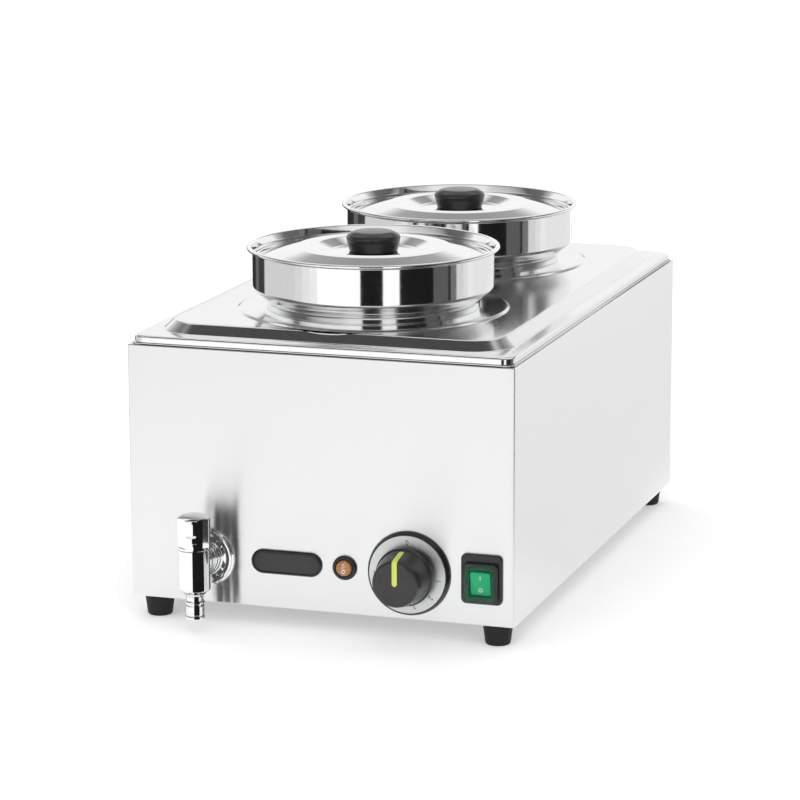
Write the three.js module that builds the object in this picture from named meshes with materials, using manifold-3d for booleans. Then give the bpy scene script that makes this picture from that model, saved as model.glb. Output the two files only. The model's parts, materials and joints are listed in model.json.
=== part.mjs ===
// Two-pot wet-well soup kettle: a heated water tank in a sheet steel casing, with a pressed
// top plate that carries two round lidded pots. Millimetres, +Z up, front face towards -Y.
// The origin is on the ground, under the middle of the whole object's bounding box.
import * as THREE from 'three';
import { mergeVertices } from 'three/addons/utils/BufferGeometryUtils.js';
import Module from 'manifold-3d';

const wasm = await Module();
wasm.setup();

// ---- Driving dimensions ----------------------------------------------------------------
const GAP = 0.3; // between pieces that touch
const SHEET = 1; // casing, tank and pot steel

const CASE_W = 340;
const CASE_L = 540;
const CASE_H = 219; // casing alone, without feet
const RETURN = 10; // width of the folded edges inside the casing
const CASE_CORNER_R = 2.5;
const VENT_PITCH = 36;
const BASE_EDGE_H = 12; // base plate's upturned edge

const FOOT_H = 19;
const FOOT_R_TOP = 12.8;
const FOOT_R_BOTTOM = 10.5;
const FOOT_INSET_X = 18.5;
const FOOT_INSET_Y = 17;
const FOOT_SCREW_R = 2;

const TANK_INSET = 18; // casing face to the tank wall's outside
const TANK_DEPTH = 149; // flange top to the tank's floor
const TANK_CORNER_R = 34;
const TANK_FILLET = 12;
const FLANGE_INSET = 1.5;
const FLANGE_T = 1.5;
const STUD_R = 2;

const PLATE_INSET_X = 2.6; // casing face to the plate lip's outside
const PLATE_INSET_Y = 1.8;
const PLATE_LIP = 5.5; // lip height
const PLATE_RISE = 8.2; // flat margin up to the field
const PLATE_PAD = 1.5; // raised ring round each pot
const MARGIN_X = 12; // flat margin's width at the sides
const MARGIN_Y = 15; // and at the ends
const BEVEL_RUN = 8.5;
const PAD_R = 118;

const POT_PITCH = 250; // between the two pots' axes
const NECK_R = 89.5; // pot below its shoulder
const DRUM_R = 104.5;
const RIM_R = 109.3;
const RIM_BEAD = 2.6; // rolled rim's height
const POT_BELOW = 130; // pot below the pad it rests on
const POT_ABOVE = 53; // and above it
const SHOULDER_H = 18;
const HOLE_CLEAR = 1.4; // plate hole round the neck
const ROUND = 32; // sides of the pots, lids and plate holes

const KNOB_R = 23.7;
const KNOB_H = 17.4;
const LID_SCREW_R = 2;

const PANEL_AXIS_Z = 40; // height of every control above the casing's bottom
const TAP_X = -101;
const TAP_OUT = 29; // barrel axis in front of the panel
const BARREL_R = 13.4;
const HANDLE_R = 13.9;
const BARREL_BOTTOM = 16.5;
const HANDLE_BOTTOM = 54;
const HANDLE_TOP = 84;
const NOZZLE_BOTTOM = -7.5;
const WATERWAY_R = 5.3;
const SPINDLE_R = 7.7;
const NIPPLE_R = 9;
const ESCUTCHEON_R = 25;
const DRAIN_Y = -212; // drain hole in the tank's floor

const DIAL_X = 79.5;
const DIAL_R = 36;
const DIAL_T = 6.2;
const SCALE_R = 33.3;
const KNOB_DIAL_BACK = 13; // skirt's rear edge in front of the panel
const KNOB_DIAL_FRONT = 40;
const SKIRT_R = 24.8;
const FACE_R = 19.2;
const SHAFT_R = 3;
const THERMO_SCREW_X = 14;
const POINTER_W = 4.6;

const LAMP_X = 22.8;
const LAMP_R = 10.5;
const LAMP_BARREL_R = 7.7;
const BADGE_X = -28.8;
const BADGE_W = 63;
const BADGE_H = 21;

const SWITCH_X = 142.8;
const SWITCH_W = 35.5;
const SWITCH_H = 42.5;
const SWITCH_BODY_W = 25;
const SWITCH_BODY_H = 31;
const COVER_W = 26.6;
const COVER_H = 30.5;
const COVER_OUT = 11.2;
const COVER_DROP = 2.4; // cover and rocker sit this far below the flange's centre
const ROCKER_W = 17;
const ROCKER_H = 20;
const ROCKER_TILT = 8;

const GLAND_X = -110;
const GLAND_R = 8;
const GLAND_OUT = 20;
const CUTOUT_X = -60;
const RESET_R = 3.2;

const ELEMENT_R = 4.2;
const ELEMENT_BEND_R = 26;
const ELEMENT_HALF_L = 150;
const BULB_R = 3;
const CAPILLARY_R = 1.2;

// ---- Places that follow from them ------------------------------------------------------
const FRONT_Y = -CASE_L / 2;
const REAR_Y = CASE_L / 2;
const FLANGE_Z = CASE_H + GAP;
const FLANGE_TOP = FLANGE_Z + FLANGE_T;
const TANK_FLOOR = FLANGE_TOP - TANK_DEPTH; // upper side of the tank's floor
const TANK_UNDER = TANK_FLOOR - SHEET;
const LIP_Z = FLANGE_TOP + GAP;
const MARGIN_Z = LIP_Z + PLATE_LIP;
const FIELD_Z = MARGIN_Z + PLATE_RISE;
const PAD_Z = FIELD_Z + PLATE_PAD;
const RIM_Z = PAD_Z + POT_ABOVE;
const POT_BOTTOM = PAD_Z - POT_BELOW;
const HOLE_R = NECK_R + HOLE_CLEAR;
const FRONT_REACH = CASE_L / 2 + Math.max(TAP_OUT + HANDLE_R, KNOB_DIAL_FRONT + GAP + 0.8);
const REAR_REACH = CASE_L / 2 + GLAND_OUT;

// ---- Materials -------------------------------------------------------------------------
const finish = (color, roughness, metalness) =>
  new THREE.MeshStandardMaterial({ color, roughness, metalness });
const satinSteel = finish(0xcfd1d3, 0.35, 1);
const polishedSteel = finish(0xd8dadc, 0.08, 1);
const chrome = finish(0xe2e4e6, 0.04, 1);
const zincSteel = finish(0xb4b6b4, 0.4, 1);
const brass = finish(0xb58e4a, 0.35, 1);
const aluminium = finish(0xc2c4c6, 0.4, 1);
const blackPlastic = finish(0x1d1d1f, 0.4, 0);
const blackRubber = finish(0x161616, 0.8, 0);
const pointerYellow = finish(0xd3dc4e, 0.45, 0);
const amberLens = finish(0xc4762b, 0.25, 0);
const greenPlastic = finish(0x12905c, 0.3, 0);
const greenClear = finish(0x0b5a3c, 0.15, 0);
const ceramic = finish(0xe6e2d8, 0.5, 0);

// ---- Geometry helpers ------------------------------------------------------------------
function solidOf(geometry) {
  const bare = geometry.index ? geometry.toNonIndexed() : geometry.clone();
  bare.deleteAttribute('normal');
  bare.deleteAttribute('uv');
  const merged = mergeVertices(bare, 1e-3);
  return new wasm.Manifold(new wasm.Mesh({
    numProp: 3,
    vertProperties: new Float32Array(merged.attributes.position.array),
    triVerts: new Uint32Array(merged.index.array),
  }));
}

function geometryOf(solid) {
  const { vertProperties, triVerts } = solid.getMesh();
  const geometry = new THREE.BufferGeometry();
  geometry.setAttribute('position', new THREE.BufferAttribute(vertProperties, 3));
  geometry.setIndex(new THREE.BufferAttribute(triVerts, 1));
  geometry.computeVertexNormals();
  return geometry;
}

function join(...geometries) {
  return geometryOf(geometries.map(solidOf).reduce((all, next) => all.add(next)));
}

function cut(geometry, ...tools) {
  return geometryOf(tools.map(solidOf).reduce((rest, tool) => rest.subtract(tool), solidOf(geometry)));
}

// Profile points are [radius, z], listed anticlockwise with the axis on the left.
function lathe(profile, segments = 24) {
  const points = profile.map(([r, z]) => new THREE.Vector2(r, z));
  return new THREE.LatheGeometry(points, segments).rotateX(Math.PI / 2);
}

function rod(radius, z0, z1, segments = 20) {
  return lathe([[0, z0], [radius, z0], [radius, z1], [0, z1]], segments);
}

function ring(inner, outer, z0, z1, segments = 24) {
  return lathe([[inner, z0], [outer, z0], [outer, z1], [inner, z1], [inner, z0]], segments);
}

function block(x0, x1, y0, y1, z0, z1) {
  return new THREE.BoxGeometry(x1 - x0, y1 - y0, z1 - z0)
    .translate((x0 + x1) / 2, (y0 + y1) / 2, (z0 + z1) / 2);
}

function slab(shape, z0, z1, curveSegments = 5) {
  return new THREE.ExtrudeGeometry(shape, { depth: z1 - z0, bevelEnabled: false, curveSegments })
    .translate(0, 0, z0);
}

function roundedRect(halfW, halfH, r, Path = THREE.Shape) {
  const path = new Path();
  path.moveTo(halfW, r - halfH);
  path.lineTo(halfW, halfH - r);
  path.absarc(halfW - r, halfH - r, r, 0, Math.PI / 2);
  path.absarc(r - halfW, halfH - r, r, Math.PI / 2, Math.PI);
  path.absarc(r - halfW, r - halfH, r, Math.PI, Math.PI * 1.5);
  path.absarc(halfW - r, r - halfH, r, Math.PI * 1.5, Math.PI * 2);
  return path;
}

// A hole with flat sides that all clear the radius.
function holePath(x, y, r, sides = 16) {
  const reach = r / Math.cos(Math.PI / sides);
  const path = new THREE.Path();
  for (let k = 0; k < sides; k++) {
    const a = ((k + 0.5) / sides) * -2 * Math.PI;
    path[k ? 'lineTo' : 'moveTo'](x + reach * Math.cos(a), y + reach * Math.sin(a));
  }
  return path;
}

function hexagon(acrossFlats, bore) {
  const r = acrossFlats / Math.sqrt(3);
  const shape = new THREE.Shape();
  for (let k = 0; k < 6; k++) {
    const a = (k * Math.PI) / 3;
    shape[k ? 'lineTo' : 'moveTo'](r * Math.cos(a), r * Math.sin(a));
  }
  shape.holes.push(holePath(0, 0, bore));
  return shape;
}

// A closed skin through rounded rectangles: each step is [half width, half length, radius, z],
// and the first and last are capped.
function pressing(steps, arc = 5) {
  const centres = [[1, 1], [-1, 1], [-1, -1], [1, -1]];
  const positions = [];
  const count = 4 * (arc + 1);
  for (const [hx, hy, r, z] of steps) {
    centres.forEach(([sx, sy], corner) => {
      for (let k = 0; k <= arc; k++) {
        const a = (corner + k / arc) * (Math.PI / 2);
        positions.push(sx * (hx - r) + r * Math.cos(a), sy * (hy - r) + r * Math.sin(a), z);
      }
    });
  }
  const index = [];
  const last = steps.length - 1;
  for (let s = 0; s < last; s++) {
    for (let k = 0; k < count; k++) {
      const a = s * count + k;
      const b = s * count + ((k + 1) % count);
      index.push(a, b, b + count, a, b + count, a + count);
    }
  }
  for (const [s, flip] of [[0, true], [last, false]]) {
    const centre = positions.length / 3;
    positions.push(0, 0, steps[s][3]);
    for (let k = 0; k < count; k++) {
      const a = s * count + k;
      const b = s * count + ((k + 1) % count);
      index.push(...(flip ? [centre, b, a] : [centre, a, b]));
    }
  }
  const geometry = new THREE.BufferGeometry();
  geometry.setAttribute('position', new THREE.Float32BufferAttribute(positions, 3));
  geometry.setIndex(index);
  return geometry;
}

function pathOf(points, corner) {
  const path = new THREE.CurvePath();
  let from = points[0].clone();
  for (let k = 1; k < points.length - 1; k++) {
    const into = points[k].clone().sub(points[k - 1]).setLength(corner);
    const out = points[k + 1].clone().sub(points[k]).setLength(corner);
    const start = points[k].clone().sub(into);
    const end = points[k].clone().add(out);
    path.add(new THREE.LineCurve3(from, start));
    path.add(new THREE.QuadraticBezierCurve3(start, points[k], end));
    from = end;
  }
  path.add(new THREE.LineCurve3(from, points[points.length - 1]));
  return path;
}

function sweep(points, corner, outer, inner, steps, sides = 8) {
  const shape = new THREE.Shape().absarc(0, 0, outer, 0, Math.PI * 2, false);
  if (inner) shape.holes.push(holePath(0, 0, inner, sides));
  return new THREE.ExtrudeGeometry(shape, {
    steps,
    curveSegments: sides,
    bevelEnabled: false,
    extrudePath: pathOf(points, corner),
  });
}

const at = (x, y, z) => new THREE.Vector3(x, y, z);

// A side view [up, out] given a width across, for pieces of the front panel.
function sideOn(shape, width) {
  const turn = new THREE.Matrix4().makeBasis(at(0, 1, 0), at(0, 0, 1), at(1, 0, 0));
  return slab(shape, -width / 2, width / 2).applyMatrix4(turn);
}

// ---- Scene graph -----------------------------------------------------------------------
const kettle = new THREE.Group();
const casing = new THREE.Group(); // origin in the middle of the casing's bottom
casing.position.set(0, (FRONT_REACH - REAR_REACH) / 2, FOOT_H);
kettle.add(casing);

const front = new THREE.Group(); // x right, y up, z out of the front panel
front.position.set(0, FRONT_Y, 0);
front.rotation.x = Math.PI / 2;
casing.add(front);

const rear = new THREE.Group(); // y up, z out of the rear wall
rear.position.set(0, REAR_Y, 0);
rear.rotation.set(Math.PI / 2, Math.PI, 0);
casing.add(rear);

function add(parent, name, geometry, material, x = 0, y = 0, z = 0) {
  const mesh = new THREE.Mesh(geometry, material);
  mesh.name = name;
  mesh.position.set(x, y, z);
  parent.add(mesh);
  return mesh;
}

// ---- Casing ----------------------------------------------------------------------------
function frontPanel() {
  const shape = new THREE.Shape();
  shape.moveTo(-CASE_W / 2, 0).lineTo(CASE_W / 2, 0);
  shape.lineTo(CASE_W / 2, CASE_H).lineTo(-CASE_W / 2, CASE_H);
  const halfW = SWITCH_BODY_W / 2 + GAP;
  const halfH = SWITCH_BODY_H / 2 + GAP;
  const opening = new THREE.Path();
  opening.moveTo(SWITCH_X - halfW, PANEL_AXIS_Z - halfH).lineTo(SWITCH_X - halfW, PANEL_AXIS_Z + halfH);
  opening.lineTo(SWITCH_X + halfW, PANEL_AXIS_Z + halfH).lineTo(SWITCH_X + halfW, PANEL_AXIS_Z - halfH);
  shape.holes.push(
    holePath(TAP_X, PANEL_AXIS_Z, NIPPLE_R + GAP),
    holePath(LAMP_X, PANEL_AXIS_Z, LAMP_BARREL_R + GAP),
    holePath(DIAL_X, PANEL_AXIS_Z, SHAFT_R + 2),
    holePath(DIAL_X - THERMO_SCREW_X, PANEL_AXIS_Z, 1.8, 8),
    holePath(DIAL_X + THERMO_SCREW_X, PANEL_AXIS_Z, 1.8, 8),
    opening,
  );
  return slab(shape, -SHEET, 0);
}

function wrapOutline(halfW, y0, y1, r, t) {
  const outline = new THREE.Shape();
  outline.moveTo(-halfW, y0).lineTo(t - halfW, y0).lineTo(t - halfW, y1 - t);
  outline.lineTo(halfW - t, y1 - t).lineTo(halfW - t, y0).lineTo(halfW, y0);
  outline.lineTo(halfW, y1 - r).absarc(halfW - r, y1 - r, r, 0, Math.PI / 2);
  outline.absarc(r - halfW, y1 - r, r, Math.PI / 2, Math.PI);
  return outline;
}

function bodyWrap() {
  const y0 = FRONT_Y + SHEET + GAP;
  const half = CASE_W / 2;
  const wall = slab(wrapOutline(half, y0, REAR_Y, CASE_CORNER_R, SHEET), 0, CASE_H);
  const ledge = slab(wrapOutline(half, y0, REAR_Y, CASE_CORNER_R, RETURN), CASE_H - SHEET, CASE_H);
  const folds = [-1, 1].map((side) => {
    const xs = [side * (half - RETURN), side * (half - SHEET / 2)].sort((a, b) => a - b);
    return block(...xs, y0, y0 + SHEET, BASE_EDGE_H + 5, CASE_H - SHEET / 2);
  });
  const rearHole = (x, r) => rod(r, -2 * SHEET, 2 * SHEET, 16)
    .rotateX(Math.PI / 2)
    .translate(x, REAR_Y, PANEL_AXIS_Z);
  return cut(join(wall, ledge, ...folds), rearHole(-GLAND_X, GLAND_R + GAP),
    rearHole(-CUTOUT_X, RESET_R + 1.5));
}

function basePlate() {
  const halfX = CASE_W / 2 - SHEET - GAP;
  const halfY = CASE_L / 2 - SHEET - GAP;
  const floor = roundedRect(halfX, halfY, 2);
  for (const x of [-1, 1]) {
    for (const y of [-1, 1]) {
      const foot = footPlace(x, y);
      floor.holes.push(holePath(foot.x, foot.y, FOOT_SCREW_R + GAP, 8));
    }
  }
  const vents = 5;
  for (let k = 0; k < vents; k++) {
    const y = (k - (vents - 1) / 2) * VENT_PITCH;
    for (const x of [-70, 70]) {
      const slot = new THREE.Path();
      slot.absarc(x + 20, y, 3, Math.PI / 2, -Math.PI / 2, true);
      slot.absarc(x - 20, y, 3, -Math.PI / 2, Math.PI / 2, true);
      floor.holes.push(slot);
    }
  }
  const edge = roundedRect(halfX, halfY, 2);
  edge.holes.push(roundedRect(halfX - SHEET, halfY - SHEET, 1, THREE.Path));
  return join(slab(floor, 0, SHEET, 1), slab(edge, SHEET / 2, BASE_EDGE_H, 1));
}

function footPlace(sideX, sideY) {
  return at(sideX * (CASE_W / 2 - FOOT_INSET_X), sideY * (CASE_L / 2 - FOOT_INSET_Y), 0);
}

function foot() {
  const top = -GAP;
  const seat = -FOOT_H + 9;
  return lathe([
    [FOOT_SCREW_R + GAP, seat], [5.5, seat], [5.5, -FOOT_H], [FOOT_R_BOTTOM - 1.2, -FOOT_H],
    [FOOT_R_BOTTOM, 1.4 - FOOT_H], [FOOT_R_TOP, top - 2], [FOOT_R_TOP, top],
    [FOOT_SCREW_R + GAP, top], [FOOT_SCREW_R + GAP, seat],
  ], 16);
}

function footScrew() {
  const seat = -FOOT_H + 9 - GAP;
  return lathe([
    [0, seat - 2.6], [3, seat - 2.6], [4.2, seat - 1.4], [4.2, seat], [FOOT_SCREW_R, seat],
    [FOOT_SCREW_R, SHEET + 8], [0, SHEET + 9],
  ], 8);
}

add(front, 'front_panel', frontPanel(), satinSteel);
add(casing, 'body_wrap', bodyWrap(), satinSteel);
add(casing, 'base_plate', basePlate(), zincSteel);
for (const [sideX, acrossName] of [[-1, 'left'], [1, 'right']]) {
  for (const [sideY, alongName] of [[-1, 'front'], [1, 'rear']]) {
    const place = footPlace(sideX, sideY);
    add(casing, `foot_${alongName}_${acrossName}`, foot(), blackRubber, place.x, place.y);
    add(casing, `foot_screw_${alongName}_${acrossName}`, footScrew(), zincSteel, place.x, place.y);
  }
}

// ---- Water tank, drain and heating -----------------------------------------------------
const TANK_X = CASE_W / 2 - TANK_INSET;
const TANK_Y = CASE_L / 2 - TANK_INSET;
const STUD_PLACES = [[-40, -110], [40, -110], [-40, 110], [40, 110]];
const ELEMENT_Z = TANK_UNDER - GAP - ELEMENT_R;
const CLAMP_Z = ELEMENT_Z - ELEMENT_R - GAP; // upper side of the clamp plate
const CLAMP_T = 2;

function tankSide(inset, floorZ, topZ) {
  const steps = [];
  const arcs = 3;
  for (let k = 0; k <= arcs; k++) {
    const a = (k / arcs) * (Math.PI / 2);
    const back = TANK_FILLET * (1 - Math.sin(a));
    const r = TANK_CORNER_R - inset - back * 0.8;
    const z = floorZ + TANK_FILLET * (1 - Math.cos(a));
    steps.push([TANK_X - inset - back, TANK_Y - inset - back, r, z]);
  }
  steps.push([TANK_X - inset, TANK_Y - inset, TANK_CORNER_R - inset, topZ]);
  return steps;
}

function waterTank() {
  const halfX = CASE_W / 2 - FLANGE_INSET;
  const halfY = CASE_L / 2 - FLANGE_INSET;
  const shell = pressing([
    ...tankSide(0, TANK_UNDER, FLANGE_Z),
    [halfX, halfY, 6, FLANGE_Z],
    [halfX, halfY, 6, FLANGE_TOP],
    ...tankSide(SHEET, TANK_FLOOR, FLANGE_TOP).reverse(),
  ]);
  const drain = rod(NIPPLE_R, TANK_UNDER - 2, TANK_FLOOR + 2, 16).translate(TAP_X, DRAIN_Y, 0);
  const studs = STUD_PLACES.map(([x, y]) =>
    rod(STUD_R, CLAMP_Z - CLAMP_T - 7, TANK_UNDER + SHEET / 2, 10).translate(x, y, 0));
  return join(cut(shell, drain), ...studs);
}

// Flanged pipe from under the tank's floor down and forward to the tap's nipple.
const ELBOW_END_Y = FRONT_Y + 15;

function drainElbow() {
  const pipe = sweep([
    at(TAP_X, DRAIN_Y, TANK_UNDER - GAP),
    at(TAP_X, DRAIN_Y, PANEL_AXIS_Z),
    at(TAP_X, ELBOW_END_Y, PANEL_AXIS_Z),
  ], 16, NIPPLE_R, WATERWAY_R, 12, 6);
  const collar = ring(NIPPLE_R - 1, 17, TANK_UNDER - GAP - 2.5, TANK_UNDER - GAP, 20)
    .translate(TAP_X, DRAIN_Y, 0);
  return join(pipe, collar);
}

function heatingElement() {
  const xs = [-3, -1, 1, 3].map((k) => k * ELEMENT_BEND_R);
  const far = ELEMENT_HALF_L;
  const z = ELEMENT_Z;
  return sweep([
    at(xs[0], far - 60, z), at(xs[0], -far, z), at(xs[1], -far, z), at(xs[1], far, z),
    at(xs[2], far, z), at(xs[2], -far, z), at(xs[3], -far, z), at(xs[3], far - 60, z),
  ], ELEMENT_BEND_R * 0.95, ELEMENT_R, 0, 58, 4);
}

function elementClampPlate() {
  const plate = roundedRect(3 * ELEMENT_BEND_R + 14, ELEMENT_HALF_L - 25, 8);
  for (const [x, y] of STUD_PLACES) plate.holes.push(holePath(x, y, STUD_R + GAP, 8));
  return slab(plate, CLAMP_Z - CLAMP_T, CLAMP_Z, 3);
}

add(casing, 'water_tank', waterTank(), satinSteel);
add(casing, 'drain_elbow', drainElbow(), brass);
add(casing, 'heating_element', heatingElement(), zincSteel);
add(casing, 'element_clamp_plate', elementClampPlate(), aluminium);
STUD_PLACES.forEach(([x, y], k) => {
  const nut = slab(hexagon(7, STUD_R + GAP), CLAMP_Z - CLAMP_T - GAP - 3.2, CLAMP_Z - CLAMP_T - GAP, 3);
  add(casing, `element_nut_${k + 1}`, nut, zincSteel, x, y);
});

// ---- Drain tap -------------------------------------------------------------------------
function tapBody() {
  const upright = rod(BARREL_R, BARREL_BOTTOM, HANDLE_BOTTOM - GAP, 24);
  const neckLength = TAP_OUT + 15 - GAP; // barrel axis to the elbow's end
  const neck = rod(NIPPLE_R, 0, neckLength, 20).rotateX(-Math.PI / 2).translate(0, 0, PANEL_AXIS_Z);
  const spindleBore = rod(SPINDLE_R + GAP / 3, BARREL_BOTTOM + 4, HANDLE_BOTTOM + 1, 20);
  const outlet = rod(WATERWAY_R, BARREL_BOTTOM - 1, BARREL_BOTTOM + 5, 16);
  const waterway = rod(WATERWAY_R, 0, neckLength + 1, 16)
    .rotateX(-Math.PI / 2)
    .translate(0, 0, PANEL_AXIS_Z);
  return cut(join(upright, neck), spindleBore, outlet, waterway);
}

function tapNozzle() {
  const top = BARREL_BOTTOM - GAP;
  const end = NOZZLE_BOTTOM;
  return lathe([
    [WATERWAY_R, end], [7.2, end], [8, end + 1], [8, end + 3], [7.4, end + 4], [7.9, end + 5.5],
    [7.9, end + 13], [7.2, end + 14], [7.2, top - 3], [10.4, top], [WATERWAY_R, top],
    [WATERWAY_R, end],
  ], 20);
}

function tapEscutcheon() {
  return lathe([
    [NIPPLE_R + GAP, GAP], [ESCUTCHEON_R, GAP], [ESCUTCHEON_R, 1.4], [ESCUTCHEON_R - 1.5, 3],
    [ESCUTCHEON_R - 3, 3], [ESCUTCHEON_R - 6, 6], [14, 8.5], [NIPPLE_R + GAP, 9.5],
    [NIPPLE_R + GAP, GAP],
  ], 28);
}

function tapHandle() {
  const cap = lathe([
    [0, HANDLE_BOTTOM], [HANDLE_R, HANDLE_BOTTOM], [HANDLE_R, HANDLE_TOP - 2.5],
    [HANDLE_R - 1.5, HANDLE_TOP - 1], [HANDLE_R * 0.6, HANDLE_TOP - 0.3], [0, HANDLE_TOP],
  ], 28);
  const socket = block(-4, 4, -4, 4, HANDLE_BOTTOM - 1, HANDLE_BOTTOM + 16);
  return cut(cap, socket);
}

function tapSpindle() {
  const plug = rod(SPINDLE_R, BARREL_BOTTOM + 4 + GAP, HANDLE_BOTTOM - GAP, 20);
  const tang = 4 - GAP;
  const square = block(-tang, tang, -tang, tang, HANDLE_BOTTOM - 1, HANDLE_BOTTOM + 16 - GAP);
  const port = rod(WATERWAY_R - 1, -12, 12, 12).rotateY(Math.PI / 2).translate(0, 0, PANEL_AXIS_Z);
  return cut(join(plug, square), port);
}

const tap = new THREE.Group(); // on the barrel's axis, z as in the casing
tap.position.set(TAP_X, FRONT_Y - TAP_OUT, 0);
casing.add(tap);
add(tap, 'tap_body', tapBody(), chrome);
add(tap, 'tap_nozzle', tapNozzle(), chrome);
add(tap, 'tap_handle', tapHandle(), chrome);
add(tap, 'tap_spindle', tapSpindle(), brass);
add(front, 'tap_escutcheon', tapEscutcheon(), chrome, TAP_X, PANEL_AXIS_Z);
add(front, 'tap_gasket', ring(NIPPLE_R + GAP, 16, -SHEET - GAP - 2, -SHEET - GAP, 20),
  blackRubber, TAP_X, PANEL_AXIS_Z);
const TAP_NUT = slab(hexagon(27, NIPPLE_R + GAP), -SHEET - 2 * GAP - 8, -SHEET - 2 * GAP - 2, 4);
add(front, 'tap_locknut', TAP_NUT, brass, TAP_X, PANEL_AXIS_Z);

// ---- Thermostat ------------------------------------------------------------------------
function dialBezel() {
  const floor = DIAL_T - 1.2;
  return lathe([
    [SHAFT_R + 2, GAP], [DIAL_R, GAP], [DIAL_R, 1.6], [DIAL_R - 1.6, DIAL_T], [SCALE_R + GAP, DIAL_T],
    [SCALE_R + GAP, floor], [SHAFT_R + 2, floor], [SHAFT_R + 2, GAP],
  ], 32);
}

function dialScrewHoles() {
  return [-THERMO_SCREW_X, THERMO_SCREW_X].map((x) => rod(3.3, -1, 9, 8).translate(x, 0, 0));
}

function thermostatKnob() {
  const back = KNOB_DIAL_BACK;
  const frontZ = KNOB_DIAL_FRONT;
  return lathe([
    [0, frontZ - 10], [SHAFT_R + GAP, frontZ - 10], [SHAFT_R + GAP, DIAL_T + 1.5], [15, DIAL_T + 1.5],
    [15, back], [SKIRT_R, back], [SKIRT_R, back + 2.5], [FACE_R + 0.6, frontZ - 2.5],
    [FACE_R - 1, frontZ], [0, frontZ],
  ], 32);
}

// Bent inlay over the knob's face and down its side.
function knobPointer() {
  const rise = (SKIRT_R - FACE_R - 0.6) / (KNOB_DIAL_FRONT - KNOB_DIAL_BACK - 5);
  const low = KNOB_DIAL_BACK + 6;
  const lowR = SKIRT_R - rise * (low - KNOB_DIAL_BACK - 2.5);
  const t = 0.8;
  const side = new THREE.Shape();
  side.moveTo(-2, KNOB_DIAL_FRONT + GAP).lineTo(FACE_R - 0.6, KNOB_DIAL_FRONT + GAP);
  side.lineTo(FACE_R + 1.2, KNOB_DIAL_FRONT - 2.4).lineTo(lowR + 2 * GAP, low);
  side.lineTo(lowR + 2 * GAP + t, low).lineTo(FACE_R + 1.2 + t, KNOB_DIAL_FRONT - 2);
  side.lineTo(FACE_R - 0.4, KNOB_DIAL_FRONT + GAP + t).lineTo(-2, KNOB_DIAL_FRONT + GAP + t);
  return sideOn(side, POINTER_W);
}

const THERMO_HALF = 20;
const THERMO_DEPTH = 30;

function thermostatBody() {
  const box = block(-THERMO_HALF, THERMO_HALF, -16, 16, -SHEET - GAP - THERMO_DEPTH, -SHEET - GAP - 1);
  const tab = block(-THERMO_HALF, THERMO_HALF, -8, 8, -SHEET - GAP - 2, -SHEET - GAP);
  const screws = [-THERMO_SCREW_X, THERMO_SCREW_X].map((x) => rod(1.8, -12, 2, 10).translate(x, 0, 0));
  const bore = rod(SHAFT_R + GAP, -SHEET - GAP - 12, 2, 12);
  return cut(join(box, tab), bore, ...screws);
}

function shaft() {
  return rod(SHAFT_R, -SHEET - GAP - 11, KNOB_DIAL_FRONT - 10 - GAP, 14);
}

function thermostatScrew() {
  return lathe([
    [0, -10], [1.5, -10], [1.5, GAP], [3, GAP], [3, 2], [0, 2.4],
  ], 12);
}

// Sensing bulb under the tank's floor, with its capillary down to the thermostat.
const BULB_X = 112;
const BULB_Z = TANK_UNDER - GAP - BULB_R;

function thermostatBulb() {
  const bulb = rod(BULB_R, -45, 45, 12).rotateX(Math.PI / 2).translate(BULB_X, -90, BULB_Z);
  const endY = FRONT_Y + SHEET + GAP + THERMO_DEPTH + GAP;
  const tube = sweep([
    at(BULB_X, -130, BULB_Z), at(BULB_X, -190, BULB_Z), at(DIAL_X, -190, PANEL_AXIS_Z),
    at(DIAL_X, endY, PANEL_AXIS_Z),
  ], 12, CAPILLARY_R, 0, 22, 3);
  return join(bulb, tube);
}

function bulbClip() {
  const outer = BULB_R + GAP + 1;
  const saddle = new THREE.Shape();
  const top = TANK_UNDER - GAP;
  saddle.moveTo(-12, top).lineTo(-12, top - 1).lineTo(-outer, top - 1);
  saddle.lineTo(-outer, BULB_Z - outer).lineTo(outer, BULB_Z - outer).lineTo(outer, top);
  saddle.lineTo(outer - 1, top).lineTo(outer - 1, BULB_Z - outer + 1);
  saddle.lineTo(1 - outer, BULB_Z - outer + 1).lineTo(1 - outer, top);
  return slab(saddle, -8, 8).rotateX(Math.PI / 2).translate(BULB_X, -90, 0);
}

add(front, 'dial_bezel', cut(dialBezel(), ...dialScrewHoles()),
  blackPlastic, DIAL_X, PANEL_AXIS_Z);
add(front, 'dial_scale_ring', ring(19, SCALE_R, DIAL_T - 1.2 + GAP, DIAL_T - 0.1, 32), aluminium,
  DIAL_X, PANEL_AXIS_Z);
add(front, 'thermostat_body', thermostatBody(), blackPlastic, DIAL_X, PANEL_AXIS_Z);
for (const [side, name] of [[-1, 'left'], [1, 'right']]) {
  add(front, `thermostat_screw_${name}`, thermostatScrew(), zincSteel, DIAL_X + side * THERMO_SCREW_X,
    PANEL_AXIS_Z);
}
add(front, 'thermostat_shaft', shaft(), zincSteel, DIAL_X, PANEL_AXIS_Z);
add(front, 'thermostat_knob', thermostatKnob(), blackPlastic, DIAL_X, PANEL_AXIS_Z);
add(front, 'knob_pointer', knobPointer(), pointerYellow, DIAL_X, PANEL_AXIS_Z);
add(casing, 'thermostat_bulb', thermostatBulb(), brass);
add(casing, 'bulb_clip', bulbClip(), zincSteel);

// ---- Lamp, badge and switch ------------------------------------------------------------
function lampBody() {
  return lathe([
    [0, -22], [LAMP_BARREL_R, -22], [LAMP_BARREL_R, GAP], [LAMP_R, GAP], [LAMP_R, 1.6],
    [LAMP_R - 1, 2.6], [LAMP_BARREL_R - 0.4, 3], [LAMP_BARREL_R - 0.4, -4], [0, -4],
  ], 24);
}

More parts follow.
